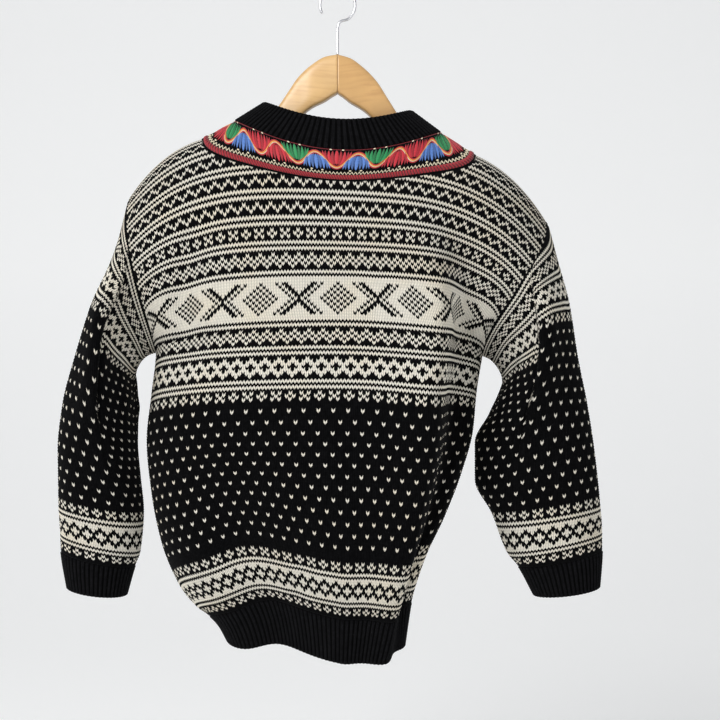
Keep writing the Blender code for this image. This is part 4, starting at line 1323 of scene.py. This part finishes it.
def arm_object(name, sign):
    """Half of the wooden hanger: rounded oblong sections along x, from the joint at the centre to a rounded
    tip. The arch is a sharp corner at the joint, and past the seat the top eases under the shoulder seam."""
    inner, outer = ARM_STATIONS[0].x + JOINT_GAP, ARM_STATIONS[-1].x + ARM_TIP
    x = np.concatenate([[inner, inner], np.linspace(inner, outer - TIP_ROUND, ARM_SECTIONS),
                        outer - TIP_ROUND * (1.0 - np.sin(np.linspace(0.0, 0.5, 7)[1:] * math.pi)), [outer]])
    seam = half_rows("back", "right", [0.0])[0]
    seat = np.interp(x * MM, seam[:, 0], seam[:, 2] + TILT * seam[:, 0]) - 0.5 * WALL - SEAT_GAP
    settle = smoothstep((x * MM - SEAT_X + SEAT_EASE) / (2.0 * SEAT_EASE))
    top = column(ARM_STATIONS, "z_top", x) * MM * (1.0 - settle) + seat * settle
    height = column(ARM_STATIONS, "height", x) * MM
    height = height - ARCH_NOTCH * np.clip(1.0 - x / ARCH_NOTCH_REACH, 0.0, 1.0)
    height = height + ARCH_FILL * bell((x - ARCH_FILL_X) / ARCH_FILL_WIDTH)
    thickness = column(ARM_STATIONS, "thickness", x) * MM
    y = column(ARM_STATIONS, "y", x) * MM
    over = np.clip((x - outer + TIP_ROUND) / TIP_ROUND, 0.0, 1.0)
    ease = np.sqrt(1.0 - over ** 2)
    middle_z = top - 0.5 * height - TILT * sign * x * MM
    taken = TIP_ROUND * MM * (1.0 - ease)
    half_z, half_y = ((0.5 * size - taken) * (over < 1.0) for size in (height, thickness))
    half_z[0] = half_y[0] = 0.0
    half_z[1], half_y[1] = half_z[2] - JOINT_CHAMFER, half_y[2] - JOINT_CHAMFER
    angle = np.linspace(0.0, 2.0 * math.pi, ARM_SIDES, endpoint=False)
    power = 2.0 / ARM_SQUARENESS
    across, up = (np.sign(part) * np.abs(part) ** power for part in (np.cos(angle), np.sin(angle)))
    rings = np.stack(np.broadcast_arrays((sign * x * MM)[:, None], y[:, None] + half_y[:, None] * across,
                                         middle_z[:, None] + half_z[:, None] * up), axis=-1)
    rings[1:3, :, 0] = sign * (inner + np.array([0.0, JOINT_CHAMFER / MM]))[:, None] * MM
    return swept_object(name, rings)


def tube_rings(path, radius):
    """Circles of the radius round a path in the hook's plane, with rounded ends."""
    way = unit(np.gradient(path, axis=0))
    side = np.stack([way[:, 2], np.zeros(len(path)), -way[:, 0]], axis=1)
    angle = np.linspace(0.0, 2.0 * math.pi, HOOK_SIDES, endpoint=False)
    circle = (side[:, None] * np.cos(angle)[None, :, None]
              + np.array([0.0, 1.0, 0.0]) * np.sin(angle)[None, :, None])
    rings = path[:, None] + circle * radius
    ends = []
    for end, out in ((0, -1.0), (-1, 1.0)):
        cap = [path[end] + way[end] * out * radius * math.sin(t) + circle[end] * radius * math.cos(t)
               for t in HOOK_CAP] + [np.tile(path[end] + way[end] * out * radius, (HOOK_SIDES, 1))]
        ends.append(np.array(cap))
    return np.concatenate([ends[0][::-1], rings, ends[1]])


def hook_object():
    """The wire hook: a stem from the wood that swings out into most of a circle round the rail."""
    radius = HOOK_INNER + HOOK_WIRE
    centre = np.array([0.0, 0.0, -HOOK_INNER])
    turn = np.radians(np.linspace(HOOK_FROM, HOOK_TO, 72))
    circle = centre + radius * np.stack([np.cos(turn), 0.0 * turn, np.sin(turn)], axis=1)
    t = np.linspace(0.0, 1.0, 24)[:, None]
    foot = np.array([0.0, 0.0, STEM_FOOT + MM])
    knee = np.array([0.0, 0.0, circle[0, 2] - 4.0 * MM])
    low = foot + (knee - foot) * np.linspace(0.0, STEM_STRAIGHT, 12)[:, None]
    start, bend = low[-1], np.array([0.0, 0.0, circle[0, 2] + 1.5 * MM])
    back = circle[0] - np.array([-math.sin(turn[0]), 0.0, math.cos(turn[0])]) * 6.0 * MM
    swing = ((1 - t) ** 3 * start + 3 * t * (1 - t) ** 2 * bend
             + 3 * t ** 2 * (1 - t) * back + t ** 3 * circle[0])
    path = np.concatenate([low[:-1], swing[:-1], circle])
    return swept_object("wire_hook", tube_rings(path, HOOK_WIRE))


def wood_material(name, wood, grain, turn):
    """Pale varnished wood: long wavy growth lines along the arm, fine pores, and a soft change of tone."""
    material, tree, shader = new_material(name, 0.38)
    set_socket(shader, "Coat Weight", 0.25)
    set_socket(shader, "Coat Roughness", 0.3)
    where = tree.nodes.new("ShaderNodeTexCoord")
    place = add_node(tree, "Mapping", {"Vector": where.outputs["Object"], "Rotation": (0.0, turn, 0.0)})
    lines = noise(tree, scaled(tree, place.outputs["Vector"], (9.0, 90.0, 140.0)), 1.0)
    pores = noise(tree, scaled(tree, place.outputs["Vector"], (120.0, 1600.0, 1600.0)), 1.0, 2.0)
    cloud = noise(tree, where.outputs["Object"], 22.0, 2.0)
    pale = tuple(min(1.0, 1.12 * c) for c in wood)
    colour = mix_colours(tree, remap(tree, cloud, 0.35, 0.65, 0.0, 1.0), wood, pale)
    colour = mix_colours(tree, remap(tree, lines, 0.5, 0.78, 0.0, 0.55), colour, grain)
    colour = mix_colours(tree, remap(tree, pores, 0.6, 0.8, 0.0, 0.3), colour, grain)
    tree.links.new(colour, shader.inputs["Base Color"])
    bump(tree, shader, pores, 0.12, 0.0003)
    return material


class SWEATER_OT_hanger(bpy.types.Operator):
    """Make the wooden hanger and its hook"""
    bl_idname = "sweater.hanger"
    bl_label = "Make the hanger"

    def execute(self, context):
        hanger = context.scene.sweater_hanger
        metal, tree, shader = new_material("plated_wire", 0.25, 0.0, 1.0)
        where = tree.nodes.new("ShaderNodeTexCoord")
        haze = noise(tree, where.outputs["Object"], 120.0)
        darker = tuple(0.8 * c for c in hanger.metal)
        tree.links.new(mix_colours(tree, haze, darker, tuple(hanger.metal)), shader.inputs["Base Color"])
        bump(tree, shader, haze, 0.05, 0.0002)
        left_wood = tuple(hanger.wood)
        right_wood = tuple(c * k for c, k in zip(left_wood, (0.96, 0.90, 0.84)))
        for side, sign, wood, turn in (("right", 1.0, right_wood, 0.16), ("left", -1.0, left_wood, -0.1)):
            material = wood_material("pale_wood_" + side, wood, tuple(hanger.grain), turn)
            finish(arm_object("wooden_arm_" + side, sign), "hanger_arm_" + side, material)
        finish(hook_object(), "hanger_hook", metal)
        return {"FINISHED"}


def thread_material(name, roughness):
    """Shiny cotton threads in their own colours, the cord's painted groove shade included, laid side by side
    across each strand.
    """
    material, tree, shader = new_material(name, roughness, 0.15)
    set_socket(shader, "Specular IOR Level", 0.3)
    where = tree.nodes.new("ShaderNodeTexCoord")
    threads = noise(tree, scaled(tree, where.outputs["UV"], (1500.0, 260.0, 1.0)), 1.0, 2.0)
    shade(tree, shader, yarn_and_shade_attribute(tree), remap(tree, threads, 0.3, 0.7, 0.62, 1.12))
    bump(tree, shader, threads, 0.6, 0.0005)
    return material


def tone(name, factor=1.0):
    """A thread's colour, darker or lighter."""
    return np.array(THREADS[name]) * factor


def scroll_wave(points):
    """The scroll's line all round the neck: a cosine with a trough at the centre back."""
    total = band_length()[-1]
    along = np.linspace(0.0, total, points, endpoint=False)
    wave = -SCROLL_REACH * np.cos(2.0 * math.pi * SCROLL_WAVES * along / total)
    return along, wave


def stem_object():
    """Four strands beside each other along the wave: gold between two reds, with a fine pale one."""
    along, wave = scroll_wave(SCROLL_WAVES * 48)
    total = band_length()[-1]
    slope = np.gradient(wave, along)
    size = np.sqrt(1.0 + slope ** 2)
    offsets, half, lift = (np.array([getattr(strand, name) for strand in STEM])[:, None] * MM
                           for name in ("offset", "half_width", "lift"))
    lines_a = along[None] - offsets * (slope / size)[None]
    lines_b = wave[None] + offsets * (1.0 / size)[None]
    half, lift = half * np.ones_like(lines_a), lift * np.ones_like(lines_a)
    colours = np.array([tone(strand.thread) for strand in STEM])
    return strand_object("scroll_stem", np.mod(lines_a, total), lines_b, half, lift, colours, True, 6)


def leaf_object():
    """Palmettes in the wave's lobes, up in its troughs and down under its crests, of satin-stitched leaves.
    A leaf is a curve through base, bend and tip, as wide as a root of the sine of the way along it."""
    wave_length = band_length()[-1] / SCROLL_WAVES
    t = np.linspace(0.0, 1.0, 11)
    lines_a, lines_b, halves, lifts, colours = [], [], [], [], []
    for lobe in range(2 * SCROLL_WAVES):
        way = 1.0 if lobe % 2 == 0 else -1.0
        upper = ("red", "green")[lobe // 2 % 2]
        lower = ("blue", "red")[(lobe // 2 + (lobe > SCROLL_WAVES)) % 2]
        name = upper if way > 0 else lower
        for number, leaf in enumerate(LEAVES):
            for side in (1.0,) if number == 0 else (1.0, -1.0):
                x = (leaf.base_x * (1 - t) ** 2 + 2 * leaf.bend_x * t * (1 - t) + leaf.tip_x * t ** 2) * side
                y = leaf.base_y * (1 - t) ** 2 + 2 * leaf.bend_y * t * (1 - t) + leaf.tip_y * t ** 2
                body = np.sin(math.pi * t).clip(0.0) ** LEAF_ROUNDNESS
                lines_a.append(lobe * 0.5 * wave_length + x * MM)
                lines_b.append(way * y * LEAF_GROWTH * MM)
                halves.append(leaf.half_width * MM * body)
                lifts.append(LEAF_LIFT * MM * body)
                colours.append(tone(name, LEAF_SHADES[number % 2]))
    stack = [np.array(part) for part in (lines_a, lines_b, halves, lifts, colours)]
    return strand_object("scroll_leaves", *stack, False)


def knot_object():
    """Small cream stitches along both edges of the scroll."""
    wave_length = band_length()[-1] / SCROLL_WAVES
    centres = np.arange(2 * SCROLL_WAVES) * 0.5 * wave_length
    way = np.where(np.arange(2 * SCROLL_WAVES) % 2 == 0, 1.0, -1.0)
    t = np.linspace(-1.0, 1.0, 7)
    a = np.concatenate([centres[:, None] + side * KNOT_X * MM + KNOT_LENGTH * MM * t for side in (-1.0, 1.0)])
    b = np.tile(way[:, None] * KNOT_Y * MM + 0.0 * t, (2, 1))
    half = np.broadcast_to(KNOT_WIDTH * MM * np.sqrt(1.0 - t ** 2), a.shape)
    colours = np.tile(tone("cream", 1.1), (len(a), 1))
    return strand_object("scroll_knots", a, b, half, half * 1.2, colours, False)


def trim_object(name, trim, steps, colours, sides=6, offset=0.0, swell=0.0):
    """A thread round the whole band: at its share of the width plus an offset, its lift plus a swell."""
    along = np.linspace(0.0, band_length()[-1], steps, endpoint=False)[None]
    across = (trim.share - BAND_MIDDLE) * BAND_WIDTH + offset + 0.0 * along
    half = np.full_like(along, trim.half_width * MM)
    lift = (trim.lift + swell + 0.0 * along) * MM
    return strand_object(name, along, across, half, lift, colours, True, sides)


def cord_objects():
    """Round the band's outer edge: a cream zigzag braid and a thick red cord of two twisted plies. The cord's
    radius swings with a sine that turns once round it in a twist, and its grooves get painted shade."""
    zigzag = np.tile([0.0, BRAID_REACH, 0.0, -BRAID_REACH], BRAID_TURNS)[None] * MM
    braid = trim_object("zigzag_braid", BRAID, 4 * BRAID_TURNS, tone("cream", 1.1)[None], offset=zigzag)
    steps, sides = CORD_TWISTS * 8, 12
    way = np.arange(steps) * 2.0 * math.pi / 8
    angle = np.arange(sides) * 2.0 * math.pi / sides
    twist = np.cos(way[None, :, None] + CORD_SLANT * np.cos(angle))
    # Painted shade in the cord's grooves: the colour runs down to a darkened dark red with the twist
    dark = tone("dark red", 0.35)
    colours = dark + (tone("red", 0.95) - dark) * (0.5 + 0.5 * twist)[..., None]
    cord = trim_object("red_cord", CORD, steps, colours, sides, swell=CORD_SWELL * twist[..., 3])
    edge = trim_object("red_edge", EDGE, 2 * LOOP_STEPS, tone("dark red")[None])
    return braid, cord, edge


class SWEATER_OT_band(bpy.types.Operator):
    """Weave the neck band and lay its threads"""
    bl_idname = "sweater.band"
    bl_label = "Weave the neck band"

    def execute(self, context):
        knit = context.scene.sweater_knit
        lattice = cloth()["neck_band"]
        flat = [np.full(shape, 0.5 * BAND_WALL) for shape in (lattice.step.shape, lattice.yarn.shape)]
        ground = knit_object(lattice, flat, 0.5 * BAND_WALL, 2)
        ground.name = "woven_ground"
        # The groove factor 1 leaves out the painted groove shade; the painted shade on the lines between legs
        # stays
        weave = knit_material("band_ground", knit.cream, knit.black, knit.black, 1.0)
        finish(ground, "neck_band", weave)
        threads = thread_material("embroidery_threads", 0.55)
        for piece in (stem_object(), leaf_object(), knot_object(), *cord_objects()):
            finish(piece, None, threads)
        return {"FINISHED"}


# The backdrop sweeps up from the floor to the wall, and the lamps give shares of the light's power
BACKDROP_RADIUS, BACKDROP_HALF = 1.2, 7.0
FRONT_Y, WALL_Y = -5.0, 3.4
FLOOR_Z, TOP_Z = -1.25, 5.0
Lamp = namedtuple("Lamp", "name place size share")
LAMPS = (Lamp("key", (-1.3, -1.9, 0.75), 1.1, 1.0), Lamp("fill", (1.7, -1.9, -0.3), 1.8, 0.2))
AIM = (0.0, 0.0, -0.42)
CAMERA_X, CAMERA_Z = 0.0263, -0.436
SENSOR = 36.0


class SWEATER_OT_stage(bpy.types.Operator):
    """Set the pale backdrop, the soft light and the camera"""
    bl_idname = "sweater.stage"
    bl_label = "Set the stage"

    def execute(self, context):
        stage = context.scene.sweater_stage
        scene = context.scene
        scene.view_settings.view_transform = "Standard"
        material, _, shader = new_material("backdrop_paper", 0.95)
        set_socket(shader, "Base Color", (0.92, 0.92, 0.915, 1.0))
        set_socket(shader, "Emission Color", (1.0, 1.0, 0.99, 1.0))
        set_socket(shader, "Emission Strength", stage.glow)
        sweep = np.linspace(0.0, 0.5 * math.pi, 24)
        radius, half = BACKDROP_RADIUS, BACKDROP_HALF
        y = np.concatenate([[FRONT_Y], WALL_Y - radius + radius * np.sin(sweep), [WALL_Y]])
        z = np.concatenate([[FLOOR_Z], FLOOR_Z + radius - radius * np.cos(sweep), [TOP_Z]])
        verts = np.concatenate([np.stack([np.full(len(y), x), y, z], axis=1) for x in (-half, half)])
        n = len(y)
        k = np.arange(n - 1)
        faces = np.stack([k, k + n, k + n + 1, k + 1], axis=1)
        mesh = bpy.data.meshes.new("backdrop")
        mesh.from_pydata(verts.tolist(), [], faces.tolist())
        mesh.shade_smooth()
        backdrop = bpy.data.objects.new("backdrop", mesh)
        mesh.materials.append(material)
        scene.collection.objects.link(backdrop)
        world = bpy.data.worlds.new("studio")
        world.use_nodes = True
        sky = world.node_tree.nodes["Background"]
        set_socket(sky, "Color", (0.95, 0.97, 1.0, 1.0))
        set_socket(sky, "Strength", 0.5)
        scene.world = world
        for name, place, size, share in LAMPS:
            light = bpy.data.lights.new(name, "AREA")
            light.size = size
            light.energy = share * stage.light
            lamp = bpy.data.objects.new(name, light)
            lamp.location = place
            lamp.rotation_euler = (Vector(AIM) - Vector(place)).to_track_quat("-Z", "Y").to_euler()
            scene.collection.objects.link(lamp)
        camera_data = bpy.data.cameras.new("camera")
        camera_data.lens = stage.lens
        camera_data.sensor_width = SENSOR
        camera = bpy.data.objects.new("camera", camera_data)
        camera.location = (CAMERA_X, -stage.distance, CAMERA_Z)
        camera.rotation_euler = (math.radians(90.0), 0.0, 0.0)
        scene.collection.objects.link(camera)
        scene.camera = camera
        return {"FINISHED"}


class SWEATER_PT_panel(bpy.types.Panel):
    """Lists the sweater's settings and the steps that build it"""
    bl_idname = "SWEATER_PT_panel"
    bl_label = "Norwegian sweater"
    bl_space_type = "VIEW_3D"
    bl_region_type = "UI"
    bl_category = "Sweater"

    def draw(self, context):
        for group in (context.scene.sweater_knit, context.scene.sweater_hanger, context.scene.sweater_stage):
            box = self.layout.box()
            for name in group.__annotations__:
                box.prop(group, name)
        for operator in OPERATORS:
            self.layout.operator(operator.bl_idname)


OPERATORS = (SWEATER_OT_body, SWEATER_OT_sleeves, SWEATER_OT_ribs, SWEATER_OT_band, SWEATER_OT_hanger,
             SWEATER_OT_stage)
GROUPS = (("sweater_knit", SWEATER_PG_knit), ("sweater_hanger", SWEATER_PG_hanger),
          ("sweater_stage", SWEATER_PG_stage))


def register():
    """Registers the settings, the steps and the panel."""
    for name, group in GROUPS:
        bpy.utils.register_class(group)
        setattr(bpy.types.Scene, name, bpy.props.PointerProperty(type=group))
    for item in (*OPERATORS, SWEATER_PT_panel):
        bpy.utils.register_class(item)


def unregister():
    """Takes them out again."""
    for item in (SWEATER_PT_panel, *reversed(OPERATORS)):
        bpy.utils.unregister_class(item)
    for name, group in reversed(GROUPS):
        delattr(bpy.types.Scene, name)
        bpy.utils.unregister_class(group)


def main():
    """Builds every piece and the stage."""
    register()
    bpy.ops.sweater.body()
    bpy.ops.sweater.sleeves()
    bpy.ops.sweater.ribs()
    bpy.ops.sweater.band()
    bpy.ops.sweater.hanger()
    bpy.ops.sweater.stage()


if __name__ == "__main__":
    main()
